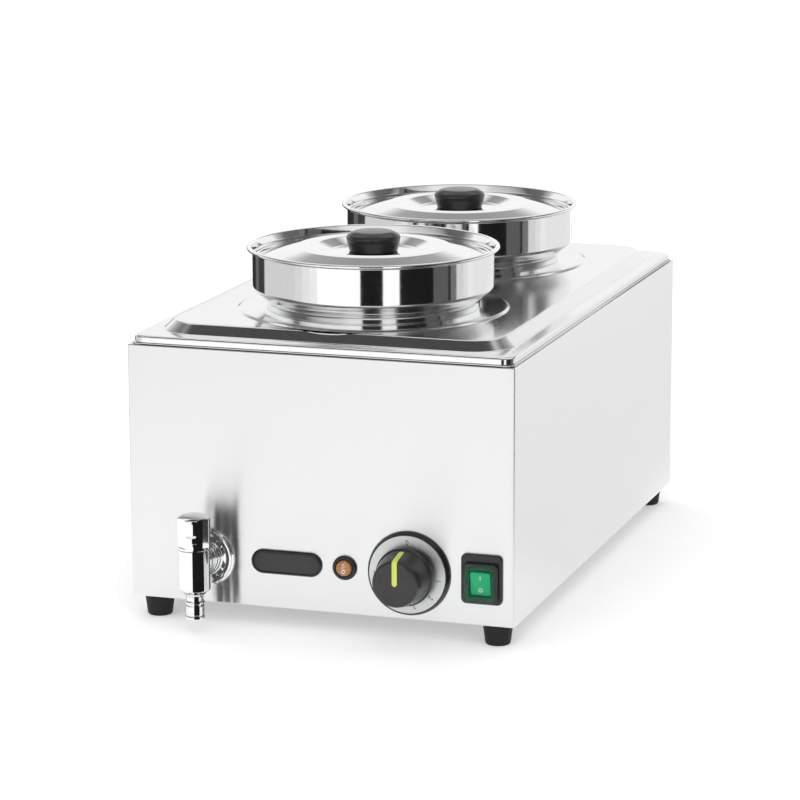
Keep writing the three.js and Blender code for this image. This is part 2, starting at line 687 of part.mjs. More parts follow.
function lampLens() {
  const r = LAMP_BARREL_R - 0.4 - GAP;
  return lathe([[0, -3.6], [r, -3.6], [r, 2.6], [r * 0.8, 4], [r * 0.45, 4.8], [0, 5]], 20);
}

function switchHousing() {
  const drop = -COVER_DROP;
  const flange = slab(roundedRect(SWITCH_W / 2, SWITCH_H / 2, 4.5), GAP, 2.6, 4);
  const collar = slab(roundedRect(COVER_W / 2 + 1.6, COVER_H / 2 + 1.6, 3), 1, 7, 3)
    .translate(0, drop, 0);
  const halfH = SWITCH_BODY_H / 2;
  const body = block(-SWITCH_BODY_W / 2, SWITCH_BODY_W / 2, -halfH, halfH, -28, 1);
  const well = block(-ROCKER_W / 2 - 1, ROCKER_W / 2 + 1, -ROCKER_H / 2 - 1, ROCKER_H / 2 + 1, -5, 8)
    .translate(0, drop, 0);
  return cut(join(flange, collar, body), well);
}

function switchCover() {
  const back = 7 + GAP;
  const wall = 1.2;
  const shell = slab(roundedRect(COVER_W / 2, COVER_H / 2, 4), back, COVER_OUT, 4);
  const room = roundedRect(COVER_W / 2 - wall, COVER_H / 2 - wall, 3);
  return cut(shell, slab(room, back - 1, COVER_OUT - wall, 4));
}

function switchRocker() {
  const side = new THREE.Shape();
  const half = ROCKER_H / 2;
  side.moveTo(-half, 2).lineTo(-3, -3.4).lineTo(3, -3.4).lineTo(half, 2);
  side.lineTo(half, 5.6).lineTo(0, 5).lineTo(-half, 5.6);
  return sideOn(side, ROCKER_W);
}

function badge() {
  return slab(roundedRect(BADGE_W / 2, BADGE_H / 2, BADGE_H / 2 - 0.01), GAP, 2.6, 8);
}

const SWITCH_Y = PANEL_AXIS_Z - COVER_DROP;
add(front, 'lamp_body', lampBody(), blackPlastic, LAMP_X, PANEL_AXIS_Z);
add(front, 'lamp_lens', lampLens(), amberLens, LAMP_X, PANEL_AXIS_Z);
add(front, 'lamp_nut', slab(hexagon(22, LAMP_BARREL_R + GAP), -SHEET - GAP - 5, -SHEET - GAP, 4),
  blackPlastic, LAMP_X, PANEL_AXIS_Z);
add(front, 'badge', badge(), blackPlastic, BADGE_X, PANEL_AXIS_Z);
add(front, 'switch_housing', switchHousing(), blackPlastic, SWITCH_X, PANEL_AXIS_Z);
add(front, 'switch_cover', switchCover(), greenClear, SWITCH_X, SWITCH_Y);
const rocker = add(front, 'switch_rocker', switchRocker(), greenPlastic, SWITCH_X, SWITCH_Y);
rocker.rotation.x = THREE.MathUtils.degToRad(ROCKER_TILT);

// ---- Rear: cord gland, safety cut-out, terminal block ----------------------------------
function cordGland() {
  return lathe([
    [4, -SHEET - 12], [GLAND_R, -SHEET - 12], [GLAND_R, GAP], [12, GAP], [12, 5], [10.5, 7],
    [10.5, GLAND_OUT - 6], [7.5, GLAND_OUT], [4, GLAND_OUT], [4, -SHEET - 12],
  ], 20);
}

function cutoutBody() {
  const back = -SHEET - GAP;
  const can = lathe([[0, back - 26], [11, back - 26], [11, back], [0, back]], 20);
  return cut(can, rod(RESET_R + GAP, back - 9, back + 1, 12));
}

function resetButton() {
  const back = -SHEET - GAP;
  return lathe([[0, back - 5], [RESET_R, back - 5], [RESET_R, 1.6], [RESET_R - 0.8, 2.2], [0, 2.2]], 14);
}

function terminalBlock() {
  const body = block(-24, 24, -9, 9, SHEET + GAP, SHEET + GAP + 15);
  const way = (x) => rod(3, SHEET + GAP + 9, SHEET + GAP + 17, 10).translate(x, 0, 0);
  return cut(body, ...[-18, -6, 6, 18].map(way));
}

add(rear, 'cord_gland', cordGland(), blackPlastic, GLAND_X, PANEL_AXIS_Z);
add(rear, 'gland_locknut', slab(hexagon(21, GLAND_R + GAP), -SHEET - GAP - 5, -SHEET - GAP, 4),
  blackPlastic, GLAND_X, PANEL_AXIS_Z);
add(rear, 'cutout_body', cutoutBody(), blackPlastic, CUTOUT_X, PANEL_AXIS_Z);
add(rear, 'reset_button', resetButton(), finish(0xb02020, 0.5, 0), CUTOUT_X, PANEL_AXIS_Z);
add(casing, 'terminal_block', terminalBlock(), ceramic, -GLAND_X, REAR_Y - 70);

// ---- Top plate -------------------------------------------------------------------------
function plateSkin(t) {
  const hx = CASE_W / 2 - PLATE_INSET_X - t;
  const hy = CASE_L / 2 - PLATE_INSET_Y - t;
  const margin = MARGIN_Z - t;
  const field = FIELD_Z - t;
  const foldR = 1.2;
  const bevelX = hx - MARGIN_X;
  const bevelY = hy - MARGIN_Y;
  return [
    [hx, hy, 11 - t, LIP_Z],
    [hx, hy, 11 - t, margin - foldR],
    [hx - foldR, hy - foldR, 10 - t, margin],
    [bevelX, bevelY, 36, margin],
    [bevelX - BEVEL_RUN, bevelY - BEVEL_RUN, 30, field],
  ];
}

// Outside less inside, with a raised, hollow pad and a hole for each pot.
function potPlate() {
  const under = plateSkin(SHEET);
  under[0][3] = LIP_Z - 1;
  let plate = solidOf(pressing(plateSkin(0))).subtract(solidOf(pressing(under)));
  for (const side of [-1, 1]) {
    const y = (side * POT_PITCH) / 2;
    const pad = ring(HOLE_R - 2, PAD_R, FIELD_Z - SHEET / 2, PAD_Z, ROUND).translate(0, y, 0);
    const hollow = ring(HOLE_R - 3, PAD_R - 2.5, FIELD_Z - SHEET - 1, PAD_Z - SHEET, ROUND)
      .translate(0, y, 0);
    const hole = rod(HOLE_R, FIELD_Z - 20, PAD_Z + 5, ROUND).translate(0, y, 0);
    plate = plate.add(solidOf(pad)).subtract(solidOf(hollow)).subtract(solidOf(hole));
  }
  return geometryOf(plate);
}

add(casing, 'pot_plate', potPlate(), polishedSteel);

// ---- Pots and lids ---------------------------------------------------------------------
const SHOULDER_TOP = PAD_Z + SHOULDER_H;
const LEDGE_Z = RIM_Z - 10;
const SEAT_R = HOLE_R + GAP; // shoulder radius where it meets the pad

function pot() {
  const t = SHEET;
  const lip = RIM_Z - RIM_BEAD;
  return lathe([
    [0, POT_BOTTOM], [NECK_R - 10, POT_BOTTOM], [NECK_R - 1, POT_BOTTOM + 10],
    [NECK_R, PAD_Z + GAP], [SEAT_R + 1, PAD_Z + 2.5],
    [DRUM_R - 2, SHOULDER_TOP - 4], [DRUM_R, SHOULDER_TOP + 2], [DRUM_R, lip - 1],
    [RIM_R, lip], [RIM_R, lip + 1.6], [RIM_R - 1.2, RIM_Z], [DRUM_R - t, lip + 0.8],
    [DRUM_R - t, LEDGE_Z], [DRUM_R - t - 1.2, LEDGE_Z - 0.6],
    [DRUM_R - t - 1.2, SHOULDER_TOP + 2.6], [DRUM_R - t - 3, SHOULDER_TOP - 3.2],
    [SEAT_R + 0.6 - t, PAD_Z + 3.3], [NECK_R - t, PAD_Z + 1], [NECK_R - 1 - t, POT_BOTTOM + 10],
    [NECK_R - 10, POT_BOTTOM + t], [0, POT_BOTTOM + t],
  ], ROUND);
}

const LID_EDGE_Z = LEDGE_Z + GAP;
const DISH_Z = RIM_Z - 5.4; // top of the lid's sunken middle

function lid() {
  const t = 0.8;
  const edge = DRUM_R - SHEET - 2 * GAP;
  const bore = LID_SCREW_R + GAP;
  return lathe([
    [bore, DISH_Z - t], [37.5, DISH_Z - t], [50, RIM_Z - 1 - t], [54, RIM_Z - t],
    [58, RIM_Z - 0.5 - t], [edge - 3, LID_EDGE_Z + 0.6], [edge, LID_EDGE_Z], [edge, LID_EDGE_Z + t],
    [58.2, RIM_Z - 0.5], [54, RIM_Z], [49.8, RIM_Z - 1], [37.3, DISH_Z], [bore, DISH_Z],
    [bore, DISH_Z - t],
  ], ROUND);
}

function lidKnob() {
  const z = DISH_Z + GAP;
  const top = z + KNOB_H;
  return lathe([
    [0, z + 11], [LID_SCREW_R + GAP, z + 11], [LID_SCREW_R + GAP, z], [KNOB_R - 3, z],
    [KNOB_R - 1.6, z + 5], [KNOB_R, z + 11], [KNOB_R - 0.8, z + 13.5], [KNOB_R - 4, z + 15.8],
    [KNOB_R * 0.5, top - 0.4], [0, top],
  ], 24);
}

function lidScrew() {
  const seat = DISH_Z - 0.8 - GAP;
  return lathe([
    [0, seat - 2.4], [3.4, seat - 2.4], [4.6, seat - 1.2], [4.6, seat], [LID_SCREW_R, seat],
    [LID_SCREW_R, DISH_Z + 10], [0, DISH_Z + 10.8],
  ], 12);
}

for (const [side, name] of [[-1, 'front'], [1, 'rear']]) {
  const place = new THREE.Group();
  place.position.y = (side * POT_PITCH) / 2;
  casing.add(place);
  add(place, `pot_${name}`, pot(), polishedSteel);
  add(place, `lid_${name}`, lid(), polishedSteel);
  add(place, `lid_knob_${name}`, lidKnob(), blackPlastic);
  add(place, `lid_knob_screw_${name}`, lidScrew(), zincSteel);
}

export default kettle;
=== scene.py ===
"""Two-pot soup kettle: fine meshes, materials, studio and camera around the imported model."""
import json
import math

import bmesh
import bpy
from mathutils import Matrix, Vector


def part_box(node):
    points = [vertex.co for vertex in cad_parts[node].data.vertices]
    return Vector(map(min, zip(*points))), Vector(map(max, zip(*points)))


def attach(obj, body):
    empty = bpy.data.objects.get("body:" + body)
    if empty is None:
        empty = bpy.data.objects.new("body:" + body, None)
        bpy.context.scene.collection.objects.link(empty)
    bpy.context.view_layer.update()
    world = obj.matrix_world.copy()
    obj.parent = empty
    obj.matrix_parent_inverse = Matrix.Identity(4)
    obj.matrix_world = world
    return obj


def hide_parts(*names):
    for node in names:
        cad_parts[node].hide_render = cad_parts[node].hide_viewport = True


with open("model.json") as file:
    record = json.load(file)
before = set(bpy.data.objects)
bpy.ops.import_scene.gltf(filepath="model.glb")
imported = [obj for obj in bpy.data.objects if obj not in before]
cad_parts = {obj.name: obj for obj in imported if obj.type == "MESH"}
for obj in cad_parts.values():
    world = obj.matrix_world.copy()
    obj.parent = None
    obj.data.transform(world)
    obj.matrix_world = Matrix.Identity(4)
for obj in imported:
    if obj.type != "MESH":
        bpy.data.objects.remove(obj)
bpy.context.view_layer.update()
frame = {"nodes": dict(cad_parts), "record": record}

MM = 0.001
GAP = 0.3 * MM          # clearance between pieces that touch
SHEET = 1.0 * MM        # casing, tank and pot steel
SWITCH_HALF_W = 12.5 * MM       # the switch's body behind the panel
SWITCH_HALF_H = 15.5 * MM

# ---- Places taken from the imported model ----
PANEL_LO, PANEL_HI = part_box("front_panel")
WRAP_LO, WRAP_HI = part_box("body_wrap")
FRONT_Y = PANEL_LO.y
REAR_Y = WRAP_HI.y
HALF_W = PANEL_HI.x
BASE_Z = PANEL_LO.z     # casing's bottom, above the feet
CASE_TOP = PANEL_HI.z
MID_Y = (FRONT_Y + REAR_Y) / 2


def centre(node):
    lo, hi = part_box(node)
    return (lo + hi) / 2


def size(node):
    lo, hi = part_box(node)
    return hi - lo


# ---- Outlines ----
def in_mm(corners):
    """Corners written in millimetres, turned into metres."""
    return [[value * MM for value in corner] for corner in corners]


def soften(corners, closed=False, steps=6):
    """Corners are (u, v) or (u, v, fillet radius). Returns points with each fillet as an arc."""
    count = len(corners)
    points = []
    for k, corner in enumerate(corners):
        here = Vector(corner[:2])
        radius = corner[2] if len(corner) > 2 else 0
        if not radius or (not closed and k in (0, count - 1)):
            points.append(here)
            continue
        back = Vector(corners[k - 1][:2]) - here
        ahead = Vector(corners[(k + 1) % count][:2]) - here
        half = back.angle(ahead) / 2
        if half > math.radians(89.5):
            points.append(here)
            continue
        reach = min(radius / math.tan(half), 0.48 * back.length, 0.48 * ahead.length)
        start = here + back.normalized() * reach
        end = here + ahead.normalized() * reach
        hub = here + (back.normalized() + ahead.normalized()).normalized() * (reach / math.cos(half))
        for s in range(steps + 1):
            spoke = (start - hub).lerp(end - hub, s / steps)
            points.append(hub + spoke.normalized() * (start - hub).length)
    return points


def rounded_rect(half_x, half_y, radius, arc=16, centre_xy=(0, 0)):
    """Anticlockwise points of a rounded rectangle, the same number whatever its size."""
    points = []
    for corner, (sx, sy) in enumerate(((1, 1), (-1, 1), (-1, -1), (1, -1))):
        for k in range(arc + 1):
            a = (corner + k / arc) * math.pi / 2
            x = centre_xy[0] + sx * (half_x - radius) + radius * math.cos(a)
            y = centre_xy[1] + sy * (half_y - radius) + radius * math.sin(a)
            points.append((x, y))
    return points


def circle(radius, count, x=0, y=0):
    turn = 2 * math.pi / count
    return [(x + radius * math.cos(k * turn), y + radius * math.sin(k * turn)) for k in range(count)]


# ---- Meshes ----
def finish_mesh(name, bm, sharp=32):
    """A linked object from a bmesh, smooth except at edges sharper than the angle."""
    bmesh.ops.remove_doubles(bm, verts=bm.verts, dist=1e-7)
    bmesh.ops.recalc_face_normals(bm, faces=bm.faces)
    mesh = bpy.data.meshes.new(name)
    bm.to_mesh(mesh)
    bm.free()
    mesh.shade_smooth()
    mesh.set_sharp_from_angle(angle=math.radians(sharp))
    obj = bpy.data.objects.new(name, mesh)
    bpy.context.scene.collection.objects.link(obj)
    return obj


def ring_faces(bm, rings, wrap=False):
    """Quads between neighbouring rings of vertices."""
    pairs = list(zip(rings, rings[1:]))
    if wrap:
        pairs.append((rings[-1], rings[0]))
    for low, high in pairs:
        count = max(len(low), len(high))
        for k in range(count):
            n = (k + 1) % count
            if len(low) == 1:
                bm.faces.new((low[0], high[n], high[k]))
            elif len(high) == 1:
                bm.faces.new((low[k], low[n], high[0]))
            else:
                bm.faces.new((low[k], low[n], high[n], high[k]))


AXES = {
    "up": Matrix.Identity(4),
    "front": Matrix.Rotation(math.pi / 2, 4, "X"),       # z out of the front panel
    "rear": Matrix.Rotation(-math.pi / 2, 4, "X"),       # z out of the rear wall
}


def revolve(name, profile, place, facing="up", segments=96, closed=True, sharp=32):
    """Turns (radius, height) points about an axis. An open profile starts and ends on the axis."""
    bm = bmesh.new()
    rings = []
    for r, z in profile:
        if r < 1e-7:
            rings.append([bm.verts.new((0, 0, z))])
        else:
            rings.append([bm.verts.new((x, y, z)) for x, y in circle(r, segments)])
    ring_faces(bm, rings, wrap=closed)
    obj = finish_mesh(name, bm, sharp)
    obj.data.transform(Matrix.Translation(place) @ AXES[facing])
    return obj


def loft(name, sections, place=(0, 0, 0), facing="up"):
    """Skins a list of (outline, height), with the first and last capped."""
    bm = bmesh.new()
    rings = [[bm.verts.new((x, y, z)) for x, y in outline] for outline, z in sections]
    ring_faces(bm, rings)
    bm.faces.new(rings[0])
    bm.faces.new(rings[-1])
    obj = finish_mesh(name, bm)
    obj.data.transform(Matrix.Translation(place) @ AXES[facing])
    return obj


def slab(name, outline_at, profile, place=(0, 0, 0), facing="up"):
    """A slab with softened edges. outline_at(inset) gives the outline, profile is (inset, height)."""
    return loft(name, [(outline_at(inset), z) for inset, z in profile], place, facing)


def edge_profile(depth, radius, start=0, steps=5):
    """(inset, height) pairs from the back face to the front face, whose edge is rounded."""
    pairs = [(0, start)]
    for s in range(steps + 1):
        a = s / steps * math.pi / 2
        pairs.append((radius * (1 - math.cos(a)), start + depth - radius * (1 - math.sin(a))))
    return pairs


def prism(name, side, half_width, facing="front"):
    """Extrudes an outline of (up, out) points sideways; front puts out away from the panel."""
    bm = bmesh.new()
    rows = [[bm.verts.new((x, up, out)) for up, out in side] for x in (-half_width, half_width)]
    ring_faces(bm, rows)
    bm.faces.new(rows[0])
    bm.faces.new(rows[1])
    obj = finish_mesh(name, bm, sharp=30)
    obj.data.transform(AXES[facing])
    return obj


def apply_modifiers(obj, sharp):
    """Keeps what the object's modifiers make as its mesh."""
    bpy.context.view_layer.update()
    made = bpy.data.meshes.new_from_object(obj.evaluated_get(bpy.context.evaluated_depsgraph_get()))
    obj.modifiers.clear()
    obj.data = made
    made.shade_smooth()
    made.set_sharp_from_angle(angle=math.radians(sharp))


def carve(obj, cutters, operation="DIFFERENCE", sharp=32):
    """Cuts (or joins) the cutters into obj and keeps the result as its mesh."""
    for cutter in cutters:
        step = obj.modifiers.new("cut", "BOOLEAN")
        step.operation = operation
        step.solver = "EXACT"
        step.object = cutter
    apply_modifiers(obj, sharp)
    for cutter in cutters:
        bpy.data.objects.remove(cutter)
    return obj


def cylinder(place, radius, z0, z1, facing="up", segments=48):
    profile = [(0, z0), (radius, z0), (radius, z1), (0, z1)]
    return revolve("cutter", profile, place, facing, segments, closed=False)


def block(lo, hi, bevel=0, name="cutter"):
    lo, hi = Vector(lo), Vector(hi)
    bm = bmesh.new()
    bmesh.ops.create_cube(bm, size=1)
    bmesh.ops.scale(bm, vec=hi - lo, verts=bm.verts)
    bmesh.ops.translate(bm, vec=(lo + hi) / 2, verts=bm.verts)
    if bevel:
        bmesh.ops.bevel(bm, geom=bm.edges[:], offset=bevel, segments=3, profile=0.5, affect="EDGES")
    return finish_mesh(name, bm)


def panel_block(at, half_x, half_z, out, back, bevel=0, name="cutter"):
    """A block round a point of the front panel, from out before its face to back behind it."""
    lo = (at.x - half_x, FRONT_Y - out, at.z - half_z)
    hi = (at.x + half_x, FRONT_Y + back, at.z + half_z)
    return block(lo, hi, bevel, name)


def fit(obj, body, slot, material, *nodes):
    """Gives a new piece its material, its body and the CAD nodes it stands for, which it hides; the slot is
    not used.
    """
    obj.data.materials.clear()
    obj.data.materials.append(material)
    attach(obj, body)
    if nodes:
        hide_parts(*nodes)
    return obj


# ---- Materials ----
def blank(name):
    material = bpy.data.materials.new(name)
    material.use_nodes = True
    tree = material.node_tree
    return material, tree, tree.nodes["Principled BSDF"]


def node(tree, kind, inputs=None, **settings):
    made = tree.nodes.new(kind)
    for key, value in settings.items():
        setattr(made, key, value)
    for key, value in (inputs or {}).items():
        made.inputs[key].default_value = value
    return made


def grain(tree, scale, stretch=(1, 1, 1), detail=4.0, roughness=0.5):
    """A noise pattern in the object's own coordinates, in metres."""
    coords = node(tree, "ShaderNodeTexCoord")
    mapping = node(tree, "ShaderNodeMapping", {"Scale": stretch})
    tree.links.new(coords.outputs["Object"], mapping.inputs["Vector"])
    noise = node(tree, "ShaderNodeTexNoise", {"Scale": scale, "Detail": detail, "Roughness": roughness})
    tree.links.new(mapping.outputs["Vector"], noise.inputs["Vector"])
    return noise.outputs["Fac"]


def spread(tree, source, low, high):
    """Maps a 0 to 1 pattern to a range of numbers."""
    ramp = node(tree, "ShaderNodeMapRange", {"From Min": 0.3, "From Max": 0.7, "To Min": low, "To Max": high})
    tree.links.new(source, ramp.inputs["Value"])
    return ramp.outputs["Result"]


def tint(tree, source, low, high):
    """Mixes two colours by a pattern."""
    mix = node(tree, "ShaderNodeMix", data_type="RGBA")
    mix.inputs["A"].default_value = (*low, 1)
    mix.inputs["B"].default_value = (*high, 1)
    tree.links.new(source, mix.inputs["Factor"])
    return mix.outputs["Result"]


def relief(tree, shader, source, strength, distance):
    bump = node(tree, "ShaderNodeBump", {"Strength": strength, "Distance": distance})
    tree.links.new(source, bump.inputs["Height"])
    tree.links.new(bump.outputs["Normal"], shader.inputs["Normal"])


def metal(name, low, high, rough, wave=(6, 0.02), streak=None, anisotropy=0.0, lay="Z"):
    """Metal with a slow waviness. Brushed metal has a streak, and blurs across its brush lines."""
    material, tree, shader = blank(name)
    shader.inputs["Metallic"].default_value = 1
    fine = grain(tree, 1, streak or (260, 260, 260), detail=5)
    tree.links.new(tint(tree, spread(tree, fine, 0, 1), low, high), shader.inputs["Base Color"])
    tree.links.new(spread(tree, fine, rough[0], rough[1]), shader.inputs["Roughness"])
    slow = grain(tree, wave[0], detail=1.5)
    relief(tree, shader, slow, wave[1], 0.01)
    if anisotropy:
        shader.inputs["Anisotropic"].default_value = anisotropy
        shader.inputs["Anisotropic Rotation"].default_value = 0.25
        tangent = node(tree, "ShaderNodeTangent", direction_type="RADIAL", axis=lay)
        tree.links.new(tangent.outputs["Tangent"], shader.inputs["Tangent"])
    return material


def moulded(name, low, high, rough, bump=0.08, scale=2200, specular=0.5):
    """Plastic or rubber with a fine moulded texture and uneven gloss."""
    material, tree, shader = blank(name)
    fine = grain(tree, scale, detail=3)
    slow = grain(tree, 60, detail=3)
    tree.links.new(tint(tree, spread(tree, slow, 0, 1), low, high), shader.inputs["Base Color"])
    tree.links.new(spread(tree, slow, rough[0], rough[1]), shader.inputs["Roughness"])
    relief(tree, shader, fine, bump, 0.0004)
    shader.inputs["Specular IOR Level"].default_value = specular
    return material


def clear_plastic(name, low, high, rough, cover, coat=0.0):
    """Tinted clear plastic: cover is how much of what lies behind it the tint hides."""
    material, tree, shader = blank(name)
    slow = grain(tree, 140, detail=2)
    tree.links.new(tint(tree, spread(tree, slow, 0, 1), low, high), shader.inputs["Base Color"])
    tree.links.new(spread(tree, slow, rough[0], rough[1]), shader.inputs["Roughness"])
    shader.inputs["Alpha"].default_value = cover
    shader.inputs["Coat Weight"].default_value = coat
    shader.inputs["IOR"].default_value = 1.5
    return material


SATIN = metal("satin_steel_sheet", (0.86, 0.862, 0.865), (0.88, 0.882, 0.885), (0.235, 0.265),
              wave=(2, 0.015), streak=(10, 10, 1300), anisotropy=1.0)
MIRROR = metal("mirror_steel", (0.86, 0.865, 0.87), (0.9, 0.9, 0.905), (0.055, 0.085), wave=(5, 0.02))
PLATE_STEEL = metal("pressed_plate_steel", (0.84, 0.845, 0.85), (0.88, 0.88, 0.885), (0.12, 0.17),
                    wave=(5, 0.04))
CHROME = metal("tap_chrome_plate", (0.86, 0.865, 0.88), (0.9, 0.905, 0.91), (0.03, 0.06), wave=(30, 0.02))
ZINC = metal("zinc_plate", (0.55, 0.56, 0.56), (0.68, 0.68, 0.67), (0.3, 0.45), wave=(60, 0.1))
BRASS = metal("plain_brass", (0.66, 0.5, 0.24), (0.76, 0.6, 0.33), (0.22, 0.4), wave=(60, 0.1))
ALUMINIUM = metal("mill_aluminium", (0.66, 0.67, 0.68), (0.76, 0.77, 0.78), (0.3, 0.45), wave=(30, 0.1))
SCALE_SILVER = metal("scale_silver", (0.62, 0.63, 0.64), (0.7, 0.71, 0.72), (0.28, 0.36), wave=(5, 0.02),
                     streak=(900, 900, 900), anisotropy=0.85, lay="Y")
BLACK = moulded("black_satin_plastic", (0.008, 0.008, 0.009), (0.014, 0.014, 0.015), (0.2, 0.3), bump=0.03)
KNOB_BLACK = moulded("knob_plastic", (0.018, 0.018, 0.019), (0.026, 0.026, 0.027), (0.22, 0.27), bump=0.01)
FACE_BLACK = moulded("badge_face_plastic", (0.022, 0.022, 0.023), (0.03, 0.03, 0.031), (0.4, 0.5), bump=0.05)
RUBBER = moulded("foot_rubber", (0.008, 0.008, 0.008), (0.018, 0.018, 0.018), (0.55, 0.75), bump=0.2,
                 scale=1500, specular=0.3)
YELLOW = moulded("pointer_inlay", (0.56, 0.63, 0.08), (0.64, 0.7, 0.12), (0.3, 0.42), bump=0.03)
AMBER = clear_plastic("amber_lens", (0.17, 0.05, 0.012), (0.24, 0.075, 0.016), (0.1, 0.2), 1.0, coat=0.6)
# The ribs' lighter amber is a painted highlight: the same plastic as the lens, coloured as if it catches the
# light.
AMBER_RIB_PAINTED_HIGHLIGHT = clear_plastic("amber_rib_painted_highlight", (0.66, 0.34, 0.09), (0.76, 0.42, 0.12), (0.1, 0.2), 1.0, coat=0.6)
GREEN = moulded("rocker_green", (0.0, 0.46, 0.17), (0.005, 0.54, 0.21), (0.2, 0.3), bump=0.02)
GREEN_CLEAR = clear_plastic("splash_cover_green", (0.0, 0.17, 0.08), (0.004, 0.22, 0.11), (0.05, 0.1), 0.12)
WHITE_MARK = moulded("white_marking", (0.8, 0.8, 0.8), (0.88, 0.88, 0.88), (0.4, 0.5), bump=0.02)
DARK_MARK = moulded("dark_marking", (0.03, 0.03, 0.032), (0.06, 0.06, 0.062), (0.4, 0.5), bump=0.02)
CERAMIC = moulded("terminal_ceramic", (0.72, 0.7, 0.64), (0.8, 0.78, 0.72), (0.25, 0.4), bump=0.05)
RED = moulded("reset_red", (0.45, 0.02, 0.015), (0.55, 0.03, 0.02), (0.35, 0.45))


# ---- Casing ----
def front_panel():
    """Flat sheet whose four edges are slightly rolled, with every hole of the real panel."""
    edge = 0.9 * MM
    half_h = (CASE_TOP - BASE_Z) / 2
    place = Vector((0, PANEL_HI.y, (CASE_TOP + BASE_Z) / 2))
    sheet = slab(
        "front_panel_sheet",
        lambda inset: rounded_rect(HALF_W - inset, half_h - inset, 0.4 * MM, arc=2),
        edge_profile(SHEET, edge, steps=6),
        place,
        "front",
    )
    cutters = [
        cylinder(Vector((centre(n).x, FRONT_Y, centre(n).z)), r, -5 * MM, 5 * MM, "front")
        for n, r in (("tap_escutcheon", 9.4 * MM), ("lamp_body", 8 * MM), ("dial_bezel", 5 * MM))
    ]
    cutters.append(panel_block(centre("switch_housing"), SWITCH_HALF_W + 0.4 * MM, SWITCH_HALF_H + 0.4 * MM,
                               5 * MM, 5 * MM))
    return fit(carve(sheet, cutters), "casing", "satin_steel", SATIN, "front_panel")


def body_wrap():
    """One sheet round both sides and the back, with a folded ledge under the tank's flange."""
    t = SHEET
    y0 = WRAP_LO.y
    corner = 2.5 * MM
    ledge = 10 * MM
    fillet = 0.9 * MM

    def u_outline(inset, thickness):
        outer, back = HALF_W - inset, REAR_Y - inset
        corners = [
            (-outer, y0), (-outer + thickness, y0),
            (-outer + thickness, back - thickness, max(corner - thickness, 0.3 * MM)),
            (outer - thickness, back - thickness, max(corner - thickness, 0.3 * MM)),
            (outer - thickness, y0), (outer, y0), (outer, back, corner), (-outer, back, corner),
        ]
        return [(p.x, p.y) for p in soften(corners, closed=True, steps=8)]

    wall = loft("body_wrap_sheet", [
        (u_outline(0, t), BASE_Z), (u_outline(0, t), CASE_TOP - fillet),
        (u_outline(fillet * 0.1, t - fillet * 0.1), CASE_TOP - fillet * 0.5),
        (u_outline(fillet * 0.3, t - fillet * 0.3), CASE_TOP),
    ])
    fold = loft("cutter", [
        (u_outline(t * 0.5, ledge), CASE_TOP - t), (u_outline(t * 0.5, ledge), CASE_TOP)])
    carve(wall, [fold], "UNION")
    flanges = [
        block((side * (HALF_W - ledge / 2) - ledge / 2 + 0.2 * MM, y0, BASE_Z + 17 * MM),
              (side * (HALF_W - ledge / 2) + ledge / 2 - 0.2 * MM, y0 + t, CASE_TOP - 0.5 * MM))
        for side in (-1, 1)
    ]
    carve(wall, flanges, "UNION")
    holes = []
    for name, radius in (("cord_gland", 8.3 * MM), ("reset_button", 4.7 * MM)):
        at = centre(name)
        holes.append(cylinder(Vector((at.x, REAR_Y, at.z)), radius, -4 * MM, 4 * MM, "rear"))
    return fit(carve(wall, holes), "casing", "satin_steel", SATIN, "body_wrap")


def foot(node_name):
    """Rubber foot that widens upwards, hollow under its screw."""
    lo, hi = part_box(node_name)
    place = Vector(((lo.x + hi.x) / 2, (lo.y + hi.y) / 2, 0))
    top = hi.z / MM
    r_top = (hi.x - lo.x) / 2 / MM
    bore, socket, r_low = 2.3, 5.5, 10.5
    profile = soften(in_mm([
        (bore, 9), (socket, 9, 0.4), (socket, 0, 0.5), (r_low, 0, 2.2), (r_top, top - 1.5, 0.8),
        (r_top, top, 0.4), (bore, top),
    ]), closed=True)
    obj = revolve(node_name + "_rubber", profile, place, segments=64)
    return fit(obj, "casing", "black_rubber", RUBBER, node_name)


# ---- Water tank and top plate ----
def tank():
    """Deep-drawn basin with a flat flange, its drain hole and four studs under it."""
    lo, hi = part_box("water_tank")
    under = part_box("heating_element")[1].z + GAP
    flange_t = 1.5 * MM
    wall_x, wall_y = HALF_W - 18 * MM, (REAR_Y - FRONT_Y) / 2 - 18 * MM
    fillet, corner = 12 * MM, 34 * MM

    def side(inset, floor, top):
        steps = 10
        rows = []
        for k in range(steps + 1):
            a = k / steps * math.pi / 2
            back = fillet * (1 - math.sin(a))
            outline = rounded_rect(wall_x - inset - back, wall_y - inset - back,
                                   corner - inset - back * 0.8, centre_xy=(0, MID_Y))
            rows.append((outline, floor + fillet * (1 - math.cos(a))))
        rows.append((rounded_rect(wall_x - inset, wall_y - inset, corner - inset,
                                  centre_xy=(0, MID_Y)), top))
        return rows

    def flange(inset, z):
        return (rounded_rect(hi.x - inset, (hi.y - lo.y) / 2 - inset, 6 * MM, centre_xy=(0, MID_Y)), z)

    soft = 0.5 * MM
    shell = loft("water_tank_basin", [
        *side(0, under, hi.z - flange_t), flange(soft, hi.z - flange_t), flange(0, hi.z - flange_t + soft),
        flange(0, hi.z - soft), flange(soft, hi.z), *reversed(side(SHEET, under + SHEET, hi.z)),
    ])
    drain = centre("drain_elbow").x
    hole = cylinder(Vector((drain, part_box("drain_elbow")[1].y - 17 * MM, under)), 9 * MM, -4 * MM, 4 * MM)
    carve(shell, [hole])
    studs = []
    for k in range(1, 5):
        at = centre(f"element_nut_{k}")
        studs.append(cylinder(Vector((at.x, at.y, 0)), 2 * MM, under - 18 * MM, under + 0.5 * MM,
                              segments=24))
    return fit(carve(shell, studs, "UNION"), "casing", "satin_steel", SATIN, "water_tank")


